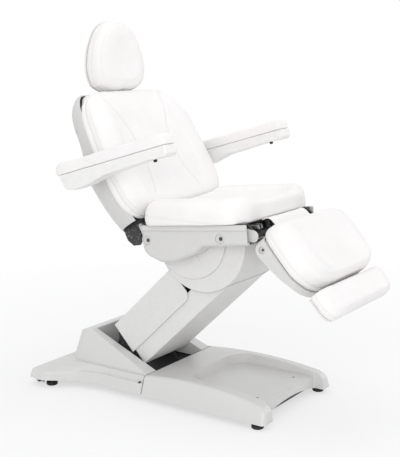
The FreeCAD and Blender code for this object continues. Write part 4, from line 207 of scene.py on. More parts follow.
class MaterialBench(Bench):
    """Builds one node material."""

    sockets = {
        "base": "Base Color",
        "roughness": "Roughness",
        "metallic": "Metallic",
        "coat": "Coat Weight",
        "normal": "Normal",
    }

    def __init__(self, name: str) -> None:
        """Start an empty material.

        Args:
            name: the material's name.
        """
        self.material = bpy.data.materials.new(name)
        self.material.use_nodes = True
        super().__init__(self.material.node_tree)

    def finish(self, constants: dict, **links: Wire) -> bpy.types.Material:
        """Add the Principled shader with its constants and with what varies.

        Args:
            constants: socket names and plain values.
            **links: base, roughness, metallic, coat or normal.

        Returns:
            The finished material.
        """
        inputs = {**constants, **{self.sockets[key]: wire for key, wire in links.items()}}
        self.show("ShaderNodeOutputMaterial", self.node("ShaderNodeBsdfPrincipled", {}, inputs))
        return self.material


def shade(colour: Colour, by: float) -> Colour:
    """A colour made darker or lighter by a factor."""
    return tuple(min(1.0, channel * by) for channel in colour)


def tinted(colour: Colour, tint: Colour) -> Colour:
    """A colour seen through another."""
    return tuple(channel * part for channel, part in zip(colour, tint))


@dataclass(frozen=True)
class Vinyl:
    """Off-white upholstery vinyl with a pebble grain, soft creases and mottling.

    Counts are features per metre and depths are metres.
    """

    colour: Colour = (0.86, 0.845, 0.835)
    grains: float = 620.0
    grain_deep: float = 0.00022
    pores: float = 229.4
    pore_tone: float = 0.72
    warp: float = 0.012
    warps: float = 90.0
    creases: float = 55.0
    crease_deep: float = 0.0006
    crease_scale: Place = (1.0, 1.0, 1.6)
    mottles: float = 7.0
    handled_spots: float = 2.3
    handled_tint: Colour = (0.97, 0.945, 0.915)
    specks: float = 160.0
    rough: float = 0.46

    def build(self, name: str) -> bpy.types.Material:
        """Make the material.

        Args:
            name: its name.

        Returns:
            The material.
        """
        bench = MaterialBench(name)
        at = bench.place()
        warp = bench.cloud(at, self.warps, 2.0) * self.warp
        bent = bench.node("ShaderNodeVectorMath", {"operation": "ADD"}, {0: at, 1: warp})
        pebbles = {"Vector": bent, "Scale": self.grains, "Smoothness": 0.6}
        cells = bench.node("ShaderNodeTexVoronoi", {"feature": "SMOOTH_F1"}, pebbles)
        pores = bench.node("ShaderNodeTexVoronoi", {"feature": "F1"}, {"Vector": at, "Scale": self.pores})
        creases = bench.cloud(bench.scaled(at, self.crease_scale), self.creases, 5.0, 0.62)
        height = (1.0 - cells) * 0.75 + pores.stretch(0.05, 0.3) * 0.25
        fine = bench.bump(height, self.grain_deep, 0.7)
        wide = bench.bump(creases, self.crease_deep, 0.35, fine)
        mottle = bench.cloud(at, self.mottles, 4.0).stretch(0.3, 0.7)
        handled = bench.cloud(at, self.handled_spots, 2.0).stretch(0.45, 0.75)
        colour = bench.blend(mottle, shade(self.colour, 0.965), shade(self.colour, 1.02))
        worn = bench.blend(handled * 0.35, colour, tinted(self.colour, self.handled_tint))
        pits = (1.0 - pores.stretch(0.02, 0.16)) * 0.16
        base = bench.blend(pits, worn, shade(self.colour, self.pore_tone))
        rough = self.rough - handled * 0.08 + bench.cloud(at, self.specks, 2.0) * 0.1
        constants = {
            "Specular IOR Level": 0.42,
            "Sheen Weight": 0.12,
            "Sheen Roughness": 0.45,
            "Coat Roughness": 0.38,
        }
        return bench.finish(constants, base=base, roughness=rough, normal=wide, coat=0.05 + handled * 0.08)


@dataclass(frozen=True)
class Moulding:
    """A moulded cover with a fine spark texture, light scuffs and dust low down.

    Counts are features per metre; depths and heights are metres.
    """

    colour: Colour
    rough: float = 0.34
    spark_deep: float = 0.00007
    dusty_below: float = 0.09
    coat: float = 0.22
    sparks: float = 1400.0
    ripples: float = 9.0
    ripple_deep: float = 0.0008
    clouds: float = 3.2
    scuffs: float = 120.0
    scuff_scale: Place = (1.0, 7.0, 1.0)
    dust: Colour = (0.5, 0.48, 0.44)
    dust_grains: float = 38.0
    clean_above: float = 0.015

    def build(self, name: str) -> bpy.types.Material:
        """Make the material.

        Args:
            name: its name.

        Returns:
            The material.
        """
        bench = MaterialBench(name)
        at = bench.place()
        fine = bench.bump(bench.cloud(at, self.sparks, 2.0), self.spark_deep, 0.55)
        normal = bench.bump(bench.cloud(at, self.ripples, 2.0), self.ripple_deep, 0.18, fine)
        tone = bench.cloud(at, self.clouds, 4.0).stretch(0.3, 0.72)
        colour = bench.blend(tone, shade(self.colour, 0.985), shade(self.colour, 1.01))
        scuffs = bench.cloud(bench.scaled(at, self.scuff_scale), self.scuffs, 6.0, 0.7).stretch(0.63, 0.72)
        height = bench.node("ShaderNodeSeparateXYZ", {}, {0: at}, "Z")
        drifts = bench.cloud(at, self.dust_grains, 5.0).stretch(0.35, 0.7)
        low = (1.0 - height.stretch(self.clean_above, self.dusty_below)) * drifts
        dusty = bench.blend(low * 0.14, colour, self.dust)
        rubbed = bench.blend(bench.edges() * 0.12, dusty, shade(self.colour, 1.06))
        rough = self.rough + tone * 0.04 + scuffs * 0.1 + low * 0.12
        coat = self.coat * (1.0 - low * 0.8)
        constants = {"Specular IOR Level": 0.5, "Coat Roughness": 0.16}
        return bench.finish(constants, base=rubbed, roughness=rough, normal=normal, coat=coat)


@dataclass(frozen=True)
class Paint:
    """Powder-coated steel with orange peel and bare metal on worn edges."""

    colour: Colour = (0.03, 0.03, 0.032)
    bare: Colour = (0.42, 0.41, 0.4)
    rough: float = 0.42
    peels: float = 520.0
    peel_deep: float = 0.00016
    clouds: float = 14.0
    chips: float = 85.0

    def build(self, name: str) -> bpy.types.Material:
        """Make the material.

        Args:
            name: its name.

        Returns:
            The material.
        """
        bench = MaterialBench(name)
        at = bench.place()
        peel = bench.bump(bench.cloud(at, self.peels, 2.0), self.peel_deep, 0.6)
        tone = bench.cloud(at, self.clouds, 4.0)
        wear = bench.edges() * bench.cloud(at, self.chips, 5.0).stretch(0.58, 0.68) * 0.5
        colour = bench.blend(tone, shade(self.colour, 0.8), shade(self.colour, 1.35))
        base = bench.blend(wear, colour, self.bare)
        rough = self.rough + tone * 0.12 - wear * 0.1
        constants = {"Coat Roughness": 0.3}
        return bench.finish(constants, base=base, roughness=rough, metallic=wear * 0.9, normal=peel)


@dataclass(frozen=True)
class Rubber:
    """Matt rubber with a chalky bloom."""

    colour: Colour = (0.02, 0.02, 0.02)
    rough: float = 0.72
    bloom: Colour = (0.13, 0.125, 0.12)
    blooms: float = 45.0
    pebbles: float = 1100.0
    pebble_deep: float = 0.00012

    def build(self, name: str) -> bpy.types.Material:
        """Make the material.

        Args:
            name: its name.

        Returns:
            The material.
        """
        bench = MaterialBench(name)
        at = bench.place()
        bloom = bench.cloud(at, self.blooms, 5.0).stretch(0.4, 0.75)
        base = bench.blend(bloom * 0.35, self.colour, self.bloom)
        pebble = bench.bump(bench.cloud(at, self.pebbles, 3.0), self.pebble_deep, 0.6)
        rough = self.rough + bloom * 0.15
        return bench.finish({"Specular IOR Level": 0.3}, base=base, roughness=rough, normal=pebble)


@dataclass(frozen=True)
class Metal:
    """Bare or plated metal with drawn lines along one axis."""

    colour: Colour
    rough: float = 0.24
    line_scale: Place = (14.0, 1.0, 14.0)
    lines: float = 150.0
    line_deep: float = 0.00006
    hazes: float = 26.0

    def build(self, name: str) -> bpy.types.Material:
        """Make the material.

        Args:
            name: its name.

        Returns:
            The material.
        """
        bench = MaterialBench(name)
        at = bench.place()
        drawn = bench.cloud(bench.scaled(at, self.line_scale), self.lines, 4.0, 0.6)
        haze = bench.cloud(at, self.hazes, 3.0)
        base = bench.blend(haze, shade(self.colour, 0.86), shade(self.colour, 1.05))
        rough = self.rough + haze * 0.08 + drawn * 0.08
        normal = bench.bump(drawn, self.line_deep, 0.6)
        return bench.finish({"Metallic": 1.0}, base=base, roughness=rough, normal=normal)


@dataclass(frozen=True)
class Thread:
    """Twisted sewing thread."""

    colour: Colour = (0.8, 0.79, 0.78)
    rough: float = 0.6
    twists: float = 2600.0
    twist_deep: float = 0.00015

    def build(self, name: str) -> bpy.types.Material:
        """Make the material.

        Args:
            name: its name.

        Returns:
            The material.
        """
        bench = MaterialBench(name)
        twist = bench.cloud(bench.place(), self.twists, 2.0)
        base = bench.blend(twist, shade(self.colour, 0.7), self.colour)
        normal = bench.bump(twist, self.twist_deep, 0.8)
        rough = self.rough + twist * 0.2
        return bench.finish({"Specular IOR Level": 0.2}, base=base, roughness=rough, normal=normal)


class Finish(Enum):
    """The finishes: one for each material slot of the record that a piece wears, and a few of their kin, among
    them a lighter copy of the shell plastic with painted light.
    """

    black_steel = Paint()
    black_rubber = Rubber()
    grey_wheel = Rubber((0.11, 0.11, 0.11), 0.6)
    zinc_steel = Metal((0.62, 0.62, 0.63), 0.28)
    dark_screws = Metal((0.11, 0.11, 0.115), 0.36)
    bright_rods = Metal((0.82, 0.82, 0.84), 0.1, (30.0, 2.0, 2.0))
    actuator_rods = Metal((0.66, 0.66, 0.67), 0.22)
    motor_plastic = Moulding((0.045, 0.045, 0.05), 0.5, 0.0001, 0.0, 0.0)
    base_covers = Moulding((0.665, 0.66, 0.65))
    lift_covers = Moulding((0.73, 0.725, 0.715), 0.4, 0.0001, 0.0, 0.1)
    # The shaded copy of the shell plastic: its colour is darkened with painted shade.
    shell_plastic = Moulding((0.64, 0.635, 0.625), 0.33, 0.00007, 0.0, 0.25)
    # The lit copy of the same shell plastic, for the arm and headrest shells: its colour is lightened with painted
    # light.
    arm_plastic = Moulding((0.84, 0.83, 0.82), 0.36, 0.00007, 0.0, 0.15)
    boards = Vinyl((0.78, 0.77, 0.76))
    white_upholstery = Vinyl()
    sewing_thread = Thread()

    def material(self) -> bpy.types.Material:
        """The finish's material, made once."""
        return bpy.data.materials.get(self.name + "_finish") or self.value.build(self.name + "_finish")


def vertices_of(mesh: bpy.types.Mesh, what: str = "co") -> np.ndarray:
    """A mesh's points, or another vector that each of them has.

    Args:
        mesh: the mesh.
        what: "co" for the points, "normal" for their normals.

    Returns:
        One row of three numbers for each point.
    """
    flat = np.empty(len(mesh.vertices) * 3, np.float32)
    mesh.vertices.foreach_get(what, flat)
    return flat.reshape(-1, 3).astype(float)


def set_vertices(mesh: bpy.types.Mesh, points: np.ndarray) -> None:
    """Put points back into a mesh."""
    mesh.vertices.foreach_set("co", points.astype(np.float32).ravel())
    mesh.update()


def baked(piece: bpy.types.Object) -> None:
    """Replace a piece's mesh by what its modifiers make, and drop them.

    Args:
        piece: the piece.
    """
    depsgraph = bpy.context.evaluated_depsgraph_get()
    mesh = bpy.data.meshes.new_from_object(piece.evaluated_get(depsgraph))
    piece.modifiers.clear()
    piece.data = mesh


def smooth(piece: bpy.types.Object, on: bool = True) -> None:
    """Shade a piece smooth, or flat."""
    piece.data.polygons.foreach_set("use_smooth", [on] * len(piece.data.polygons))
    piece.data.update()


def new_piece(
    name: str, points: Sequence, faces: Sequence[Face], finish: bpy.types.Material
) -> bpy.types.Object:
    """Make a mesh object.

    Args:
        name: the piece's name.
        points: its points.
        faces: its faces.
        finish: its material.

    Returns:
        The piece.
    """
    mesh = bpy.data.meshes.new(name)
    mesh.from_pydata([tuple(p) for p in points], [], faces)
    mesh.validate()
    mesh.materials.append(finish)
    piece = bpy.data.objects.new(name, mesh)
    bpy.context.scene.collection.objects.link(piece)
    smooth(piece)
    return piece


def tree_of(piece: bpy.types.Object) -> BVHTree:
    """A search tree of a piece's surface."""
    mesh = piece.data
    return BVHTree.FromPolygons([v.co for v in mesh.vertices], [p.vertices for p in mesh.polygons])


def resampled(path: Loop, step: float, closed: bool) -> Loop:
    """Points at even steps along a path.

    Args:
        path: the path's points.
        step: the distance between points, in metres.
        closed: whether the path returns to its start.

    Returns:
        The even points.
    """
    points = np.array([tuple(p) for p in (path + path[:1] if closed else path)])
    runs = np.linalg.norm(np.diff(points, axis=0), axis=1)
    along = np.concatenate(([0.0], np.cumsum(runs)))
    count = max(2, int(along[-1] / step))
    spots = np.linspace(0.0, along[-1], count, endpoint=not closed)
    return [Vector([np.interp(s, along, points[:, k]) for k in range(3)]) for s in spots]


def heading(path: Loop, index: int, closed: bool = False) -> Vector:
    """The direction of a path at one of its points.

    Args:
        path: the path's points.
        index: which point.
        closed: whether the path returns to its start.

    Returns:
        A direction of length 1.
    """
    last = len(path) - 1
    after = path[(index + 1) % len(path)] if closed else path[min(index + 1, last)]
    before = path[index - 1] if closed else path[max(index - 1, 0)]
    return (after - before).normalized()


def circle(centre: Vector, side: Vector, up: Vector, around: int) -> Loop:
    """Points on an ellipse, from its middle, its radius at the start and the one a quarter turn on."""
    angles = [math.tau * turn / around for turn in range(around)]
    return [centre + side * math.cos(angle) + up * math.sin(angle) for angle in angles]


def tube_faces(rings: int, around: int, first: int = 0, closed: bool = False) -> list[Face]:
    """Faces of a tube whose rings of points follow each other.

    Args:
        rings: how many rings it has.
        around: points in each ring.
        first: the number of its first point.
        closed: whether the last ring joins the first. An open tube gets two end faces.

    Returns:
        The faces.
    """
    faces = []
    for ring in range(rings if closed else rings - 1):
        here, ahead = first + ring * around, first + (ring + 1) % rings * around
        for turn in range(around):
            beside = (turn + 1) % around
            faces.append((here + turn, here + beside, ahead + beside, ahead + turn))
    if not closed:
        last = first + (rings - 1) * around
        faces += [tuple(range(first + around - 1, first - 1, -1)), tuple(range(last, last + around))]
    return faces


def hung(piece: bpy.types.Object, body: str) -> None:
    """Let a piece ride on a body.

    Args:
        piece: the piece.
        body: the body that carries it.
    """
    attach(piece, body)
    log.info("made %s", piece.name)


@dataclass(frozen=True)
class Stitch:
    """One arched stitch: a thin tube that dips into the cover at both ends."""

    long: float = 0.0052
    thick: float = 0.00045
    lift: float = 0.0003
    around: int = 6
    ring_shares: tuple[Place, ...] = ((-0.5, -1, 0.5), (-0.25, 1, 1), (0.25, 1, 1), (0.5, -1, 0.5))

    def points(self, spot: Vector, ahead: Vector, side: Vector, up: Vector) -> Loop:
        """The stitch's points at one place.

        Args:
            spot: its middle on the cover.
            ahead: the way that it runs.
            side: the way across it.
            up: the way out of the cover.

        Returns:
            Its rings of points, one after the other.
        """
        points = []
        for run, rise, fat in self.ring_shares:
            middle = spot + ahead * (run * self.long) + up * (rise * self.lift)
            points += circle(middle, side * (self.thick * fat), up * (self.thick * fat), self.around)
        return points


@dataclass(frozen=True)
class Seam:
    """How a line on a cushion is sewn: its groove, the puckers beside it and its rows of stitches."""

    depth: float
    width: float
    closed: bool = True
    rows: tuple[float, ...] = (0.0034,)
    step: float = 0.002
    every: int = 4
    pucker: float = 0.0007
    pucker_wide: float = 0.011
    puckers: float = 95.0
    sunk_share: float = 0.4
    reach: float = 0.0312
    stitch: Stitch = Stitch()

    def sink(self, spot: Vector, away: float) -> float:
        """How far the cover sinks beside the seam.

        Args:
            spot: a point on the cover.
            away: how far it is from the seam.

        Returns:
            The depth in metres.
        """
        groove = self.depth * math.exp(-((away / self.width) ** 2))
        ripple = noise.noise(spot * self.puckers) * self.pucker * math.exp(-((away / self.pucker_wide) ** 2))
        return groove + max(0.0, ripple + self.pucker * self.sunk_share)


@dataclass(frozen=True)
class Roll:
    """A soft rolled edge between a cushion and what carries it."""

    level: float
    radius: float
    behind: float
    step: float = 0.006
    around: int = 12
    tuck_share: float = 0.75
    tall_share: float = 1.25


@dataclass(frozen=True)
class Cover:
    """How a cushion's cover stretches under air pressure, and how much of its give is kept."""

    inset: float = 0.003
    pressure: float = 4.0
    quality: int = 4
    mass: float = 0.25
    stiffness: float = 22.0
    bending: float = 1.5
    frames: int = 20
    give: float = 0.0026
    ease: float = 0.4

    def blown_up(self, piece: bpy.types.Object) -> None:
        """Simulate the cover and apply the result.

        Args:
            piece: the piece, drawn in already.
        """
        settings = piece.modifiers.new("cover", "CLOTH").settings
        settings.quality = self.quality
        settings.mass = self.mass
        settings.tension_stiffness = self.stiffness
        settings.compression_stiffness = self.stiffness
        settings.bending_stiffness = self.bending
        settings.use_pressure = True
        settings.uniform_pressure_force = self.pressure
        settings.effector_weights.gravity = 0.0
        for step in range(1, self.frames + 1):
            bpy.context.scene.frame_set(step)
        baked(piece)
        bpy.context.scene.frame_set(1)


@dataclass
class Cushion:
    """A padded piece that stands for a plain soft solid.

    Rays that look for its surface start beside or over it, at these distances in metres.
    """

    node: str
    body: str
    across: Vector
    along: Vector
    voxel: float
    dents: Sequence[tuple[Vector, float, float]] = ()
    cover: Cover = Cover()
    fill: float = 0.7
    calm_share: float = 0.5
    calm_passes: int = 6
    beside: float = 2.0
    over: float = 0.5
    solid: Optional[BVHTree] = field(default=None, init=False)
    skin: Optional[BVHTree] = field(default=None, init=False)
    piece: Optional[bpy.types.Object] = field(default=None, init=False)

    @property
    def out(self) -> Vector:
        """The way that the padded face looks."""
        return self.across.cross(self.along).normalized()

    def copied(self) -> None:
        """Copy the solid's mesh and give it even faces."""
        source = frame["nodes"][self.node]
        self.solid = tree_of(source)
        self.piece = bpy.data.objects.new(self.node + "_padding", source.data.copy())
        bpy.context.scene.collection.objects.link(self.piece)
        remesh = self.piece.modifiers.new("even", "REMESH")
        remesh.mode = "VOXEL"
        remesh.voxel_size = self.voxel
        baked(self.piece)

    def pressed(self) -> None:
        """Draw the form in a little, let air pressure fill the cover, and keep a soft share of its give."""
        form, outward = vertices_of(self.piece.data), vertices_of(self.piece.data, "normal")
        set_vertices(self.piece.data, form - outward * self.cover.inset)
        self.cover.blown_up(self.piece)
        moved = vertices_of(self.piece.data) - form
        inward = np.minimum((moved * outward).sum(axis=1, keepdims=True), 0.0)
        give = self.cover.give * np.tanh(inward * self.cover.ease / self.cover.give)
        set_vertices(self.piece.data, form + outward * give)

    def held_in(self) -> None:
        """Keep every point inside the space of the solid."""
        points = vertices_of(self.piece.data)
        for index, point in enumerate(points):
            near, normal, _, _ = self.solid.find_nearest(Vector(point))
            if near is not None and (Vector(point) - near).dot(normal) > 0.0:
                points[index] = near
        set_vertices(self.piece.data, points)

    def refined(self) -> None:
        """Add one level of subdivision and smooth the voxel steps."""
        self.piece.modifiers.new("fine", "SUBSURF").levels = 1
        calm = self.piece.modifiers.new("calm", "SMOOTH")
        calm.factor, calm.iterations = self.calm_share, self.calm_passes
        baked(self.piece)

    def dented(self) -> None:
        """Press soft hollows into the padded face."""
        points, normals = vertices_of(self.piece.data), vertices_of(self.piece.data, "normal")
        out = np.array(self.out)
        facing = np.clip(normals @ out, 0.0, 1.0)
        for centre, radius, depth in self.dents:
            away = np.linalg.norm(points - np.array(centre), axis=1) / radius
            points -= out * (depth * np.exp(-away ** 2) * facing)[:, None]
        set_vertices(self.piece.data, points)
        self.skin = tree_of(self.piece)

    def ring(self, level: float, count: int = 180) -> Loop:
        """A line round the cushion's sides.

        Args:
            level: how far up its thickness, 0 to 1.
            count: points round it.

        Returns:
            The points on the surface.
        """
        points = vertices_of(self.piece.data)
        axes = [np.array(a) for a in (self.across, self.along, self.out)]
        spans = [(float((points @ a).min()), float((points @ a).max())) for a in axes]
        middle = [sum(s) / 2 for s in spans]
        height = spans[2][0] + (spans[2][1] - spans[2][0]) * level
        centre = self.across * middle[0] + self.along * middle[1] + self.out * height
        found = []
        for way in circle(Vector(), self.across, self.along, count):
            hit = self.skin.ray_cast(centre + way * self.beside, -way)[0]
            if hit is not None:
                found.append(hit)
        return found

    def inner_ring(self, level: float, share: float) -> Loop:
        """A line on the padded face, parallel to the outline.

        Args:
            level: the level of the outline that it follows.
            share: its size against that outline.

        Returns:
            The points on the surface.
        """
        outline = self.ring(level)
        centre = sum(outline, Vector()) / len(outline)
        return self.dropped([centre + (p - centre) * share for p in outline])

    def dropped(self, points: Iterable[Vector]) -> Loop:
        """Drop points onto the padded face along its own direction."""
        hits = (self.skin.ray_cast(p + self.out * self.over, -self.out)[0] for p in points)
        return [hit for hit in hits if hit is not None]

    def sew(self, path: Loop, seam: Seam, label: str) -> None:
        """Press a seam into the cover and lay its stitches.

        Args:
            path: points on the surface.
            seam: how the seam is sewn.
            label: a word for the stitches' name.
        """
        line = resampled(path, seam.step, seam.closed)
        search = KDTree(len(line))
        for index, point in enumerate(line):
            search.insert(point, index)
        search.balance()
        points, normals = vertices_of(self.piece.data), vertices_of(self.piece.data, "normal")
        for index, point in enumerate(points):
            spot = Vector(point)
            away = search.find(spot)[2]
            if away < seam.reach:
                points[index] -= normals[index] * seam.sink(spot, away)
        set_vertices(self.piece.data, points)
        self.skin = tree_of(self.piece)
        self.stitched(line, seam, label)

    def stitched(self, line: Loop, seam: Seam, label: str) -> None:
        """Lay rows of arched stitches beside a seam.

        Args:
            line: even points along the seam.
            seam: how the seam is sewn.
            label: a word for the name.
        """
        points, faces = [], []
        for row in seam.rows:
            for k in range(1, len(line) - 2, seam.every):
                ahead = heading(line, k)
                near, normal, _, _ = self.skin.find_nearest(line[k])
                side = ahead.cross(normal).normalized()
                spot, normal, _, _ = self.skin.find_nearest(near + side * row)
                faces += tube_faces(len(seam.stitch.ring_shares), seam.stitch.around, len(points))
                points += seam.stitch.points(spot, ahead, side, normal)
        piece = new_piece(f"{self.node}_{label}_stitches", points, faces, Finish.sewing_thread.material())
        hung(piece, self.body)

    def rolled(self, roll: Roll, label: str) -> None:
        """Lay a soft rolled edge behind the cushion.

        Args:
            roll: its sizes and place.
            label: a word for its name.
        """
        path = resampled(self.ring(roll.level), roll.step, True)
        centre = sum(path, Vector()) / len(path)
        points = []
        for k, spot in enumerate(path):
            side = heading(path, k, True).cross(self.out).normalized()
            side = side if side.dot(spot - centre) > 0 else -side
            middle = spot - self.out * roll.behind - side * (roll.radius * roll.tuck_share)
            tall = self.out * (roll.radius * roll.tall_share)
            points += circle(middle, side * roll.radius, tall, roll.around)
        faces = tube_faces(len(path), roll.around, closed=True)
        piece = new_piece(f"{self.node}_{label}", points, faces, Finish.white_upholstery.material())
        hung(piece, self.body)

    def build(self) -> "Cushion":
        """Make the filled form with its hollows, ready for its seams."""
        for step in (self.copied, self.pressed, self.held_in, self.refined, self.dented):
            step()
        return self

    def dressed(self) -> None:
        """Give the cushion its vinyl and hang it on its body."""
        self.piece.data.materials.clear()
        self.piece.data.materials.append(Finish.white_upholstery.material())
        smooth(self.piece)
        hung(self.piece, self.body)
        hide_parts(self.node)


def tilted(degrees: float) -> tuple[Vector, Vector]:
    """Width and length directions of a pad whose length is turned up from straight back."""
    angle = math.radians(degrees)
    return Vector((1, 0, 0)), Vector((0, math.cos(angle), math.sin(angle)))


def mirrored(path: Loop) -> Loop:
    """The same path on the other side of the chair."""
    return [Vector((-p.x, p.y, p.z)) for p in path]


@dataclass
class CadPieces:
    """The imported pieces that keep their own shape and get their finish."""

    # Shells that wear the lighter copy of their plastic, with painted light in its colour.
    whiter: tuple[str, ...] = ("arm_shell_left", "arm_shell_right", "headrest_shell")

    def build(self) -> None:
        """Give every node the finish of its slot, and the arm and headrest shells the lit copy of the shell
        plastic, with painted light.
        """
        slots = {row["node"]: row["material_slot"] for row in frame["record"]["subparts"]}
        # These shells swap their slot's plastic for its lit copy: painted light.
        slots.update({name: "arm_plastic" for name in self.whiter})
        for name, piece in sorted(frame["nodes"].items()):
            piece.data.materials.clear()
            piece.data.materials.append(Finish[slots[name]].material())
            log.info("finished %s as %s", name, slots[name])


@dataclass
class Seat:
    """The seat cushion with the long shallow hollow that a sitter leaves."""

    lean: float = 1.2
    voxel: float = 0.0062
    hollow: tuple[Pair, ...] = ((-0.2, 0.81), (-0.11, 0.82), (-0.01, 0.82), (0.08, 0.82))
    hollow_deep: tuple[float, ...] = (0.004, 0.006, 0.006, 0.005)
    hollow_wide: float = 0.12
    seam_level: float = 0.3
    seam: Seam = Seam(0.0026, 0.0036)

    def build(self) -> None:
        """Fill, sew and hang the cushion."""
        hollow = zip(self.hollow, self.hollow_deep)
        dents = [(Vector((0.0, *at)), self.hollow_wide, deep) for at, deep in hollow]
        pad = Cushion("seat_cushion", "seat", *tilted(self.lean), self.voxel, dents).build()
        pad.sew(pad.ring(self.seam_level), self.seam, "side")
        pad.dressed()


@dataclass
class Back:
    """The back cushion with a long sewn dart on each side and a rolled edge."""

    lean: float = 59.0
    voxel: float = 0.0066
    hollow: Place = (0.0, 0.27, 0.92)
    hollow_wide: float = 0.16
    hollow_deep: float = 0.006
    seam_level: float = 0.42
    seam: Seam = Seam(0.0026, 0.0036)
    dart_out: tuple[float, ...] = (0.19, 0.165, 0.125, 0.105, 0.115, 0.15)
    dart_up_shares: tuple[float, ...] = (0.97, 0.84, 0.66, 0.5, 0.3, 0.12)
    dart_step: float = 0.01
    dart: Seam = Seam(0.0034, 0.005, closed=False, rows=(-0.0036, 0.0036))
    edge: Roll = Roll(level=0.1, radius=0.013, behind=0.014)

    def dart_line(self, pad: Cushion) -> Loop:
        """The left dart's line on the padded face.

        Args:
            pad: the back cushion.

        Returns:
            The points.
        """
        points = vertices_of(pad.piece.data)
        span = points @ np.array(pad.along)
        low, high = float(span.min()), float(span.max())
        middle = Vector(points.mean(axis=0))
        start = low - middle.dot(pad.along)
        path = []
        for out, share in zip(self.dart_out, self.dart_up_shares):
            path.append(middle + pad.across * out + pad.along * (start + (high - low) * share))
        return pad.dropped(resampled(path, self.dart_step, False))

    def build(self) -> None:
        """Fill, sew and hang the cushion."""
        dents = [(Vector(self.hollow), self.hollow_wide, self.hollow_deep)]
        pad = Cushion("back_cushion", "back", *tilted(self.lean), self.voxel, dents).build()
        pad.sew(pad.ring(self.seam_level), self.seam, "side")
        dart = self.dart_line(pad)
        for label, path in (("left_dart", dart), ("right_dart", mirrored(dart))):
            pad.sew(path, self.dart, label)
        pad.rolled(self.edge, "edge_roll")
        pad.dressed()


@dataclass
class Headrest:
    """The egg-shaped head cushion with a soft hollow and a welted edge."""

    lean: float = 85.0
    voxel: float = 0.005
    hollow_in: float = 0.01
    hollow_down: float = 0.01
    hollow_wide: float = 0.085
    hollow_deep: float = 0.009
    side_level: float = 0.35
    side: Seam = Seam(0.0024, 0.0034, rows=(0.0032,))
    face_level: float = 0.55
    face_share: float = 0.9
    face: Seam = Seam(0.0009, 0.003, rows=(0.0028,))

    def build(self) -> None:
        """Fill, sew and hang the cushion."""
        low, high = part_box("headrest_cushion")
        hollow = Vector((0.0, low.y + self.hollow_in, (low.z + high.z) / 2 - self.hollow_down))
        dents = [(hollow, self.hollow_wide, self.hollow_deep)]
        pad = Cushion("headrest_cushion", "head", *tilted(self.lean), self.voxel, dents).build()
        pad.sew(pad.ring(self.side_level), self.side, "side")
        pad.sew(pad.inner_ring(self.face_level, self.face_share), self.face, "face")
        pad.dressed()


@dataclass
class LegRest:
    """The leg cushion and the pull-out foot pad."""

    slope: float = 48.0
    leg_voxel: float = 0.0055
    hollow_up: float = 0.05
    hollow_wide: float = 0.11
    hollow_deep: float = 0.006
    leg_level: float = 0.3
    leg_seam: Seam = Seam(0.0024, 0.0036)
    foot_voxel: float = 0.005
    foot_level: float = 0.36
    foot_seam: Seam = Seam(0.0022, 0.0034, rows=(0.0032,))

    def build(self) -> None:
        """Fill, sew and hang both cushions."""
        low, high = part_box("leg_cushion")
        hollow = Vector((0.0, (low.y + high.y) / 2, (low.z + high.z) / 2 + self.hollow_up))
        dents = [(hollow, self.hollow_wide, self.hollow_deep)]
        pad = Cushion("leg_cushion", "leg_rest", *tilted(self.slope), self.leg_voxel, dents).build()
        pad.sew(pad.ring(self.leg_level), self.leg_seam, "side")
        pad.dressed()
        foot = Cushion("foot_cushion", "foot_rest", *tilted(self.slope), self.foot_voxel).build()
        foot.sew(foot.ring(self.foot_level), self.foot_seam, "side")
        foot.dressed()


@dataclass
class GapStrip:
    """The soft strip from the seat to the leg rest, with rolled ends and small folds."""

    rows: int = 14
    columns: int = 72
    margin: float = 0.002
    top_drop: float = 0.011
    foot_rise: float = 0.004
    bow: float = 0.014
    bow_share: float = 1.15
    fold: float = 0.0011
    folds: float = 28.0
    fold_turns: float = 3.0
    fold_seed: float = 1.7
    thick: float = 0.0016
    hem_radius: float = 0.0028
    hem_in_share: float = 0.9
    hem_around: int = 10

    def build(self) -> None:
        low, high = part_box("gap_flap")
        start = Vector((0, high.y - self.margin, high.z - self.top_drop))
        end = Vector((0, low.y + self.margin, low.z + self.foot_rise))
        half, wide = high.x - self.margin, self.columns + 1
        points = []
        for row in range(self.rows + 1):
            share = row / self.rows
            spot = start.lerp(end, share)
            rise = spot.z + self.bow * math.sin(math.pi * min(1.0, share * self.bow_share))
            for column in range(wide):
                x = -half + 2 * half * column / self.columns
                ripple = noise.noise(Vector((x * self.folds, share * self.fold_turns, self.fold_seed)))
                points.append(Vector((x, spot.y, rise + self.fold * ripple * math.sin(math.pi * share))))
        corners = [row * wide + column for row in range(self.rows) for column in range(self.columns)]
        faces = [(a, a + 1, a + wide + 1, a + wide) for a in corners]
        piece = new_piece("gap_flap_strip", points, faces, Finish.white_upholstery.material())
        solid = piece.modifiers.new("thick", "SOLIDIFY")
        solid.thickness, solid.offset = self.thick, 0.0
        baked(piece)
        smooth(piece)
        self.joined(piece)
        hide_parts("gap_flap")
        hems = [self.hem("right", points[::wide], 1), self.hem("left", points[self.columns::wide], -1)]
        for hem in hems:
            self.joined(hem)

    def joined(self, piece: bpy.types.Object) -> None:
        """Bake a piece's placement into its mesh.

        Args:
            piece: the piece.
        """
        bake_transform(piece)
        log.info("made %s", piece.name)

    def hem(self, label: str, path: Loop, inward: int) -> bpy.types.Object:
        """Roll one end of the strip.

        Args:
            label: the side's name.
            path: the strip's edge.
            inward: 1 or -1, the way to the chair's middle.

        Returns:
            The rolled hem.
        """
        across, points = Vector((1, 0, 0)), []
        for k, spot in enumerate(path):
            up = across.cross(heading(path, k)).normalized()
            middle = spot + across * (inward * self.hem_radius * self.hem_in_share)
            points += circle(middle, across * self.hem_radius, up * self.hem_radius, self.hem_around)
        faces = tube_faces(len(path), self.hem_around)
        return new_piece(f"gap_flap_hem_{label}", points, faces, Finish.white_upholstery.material())


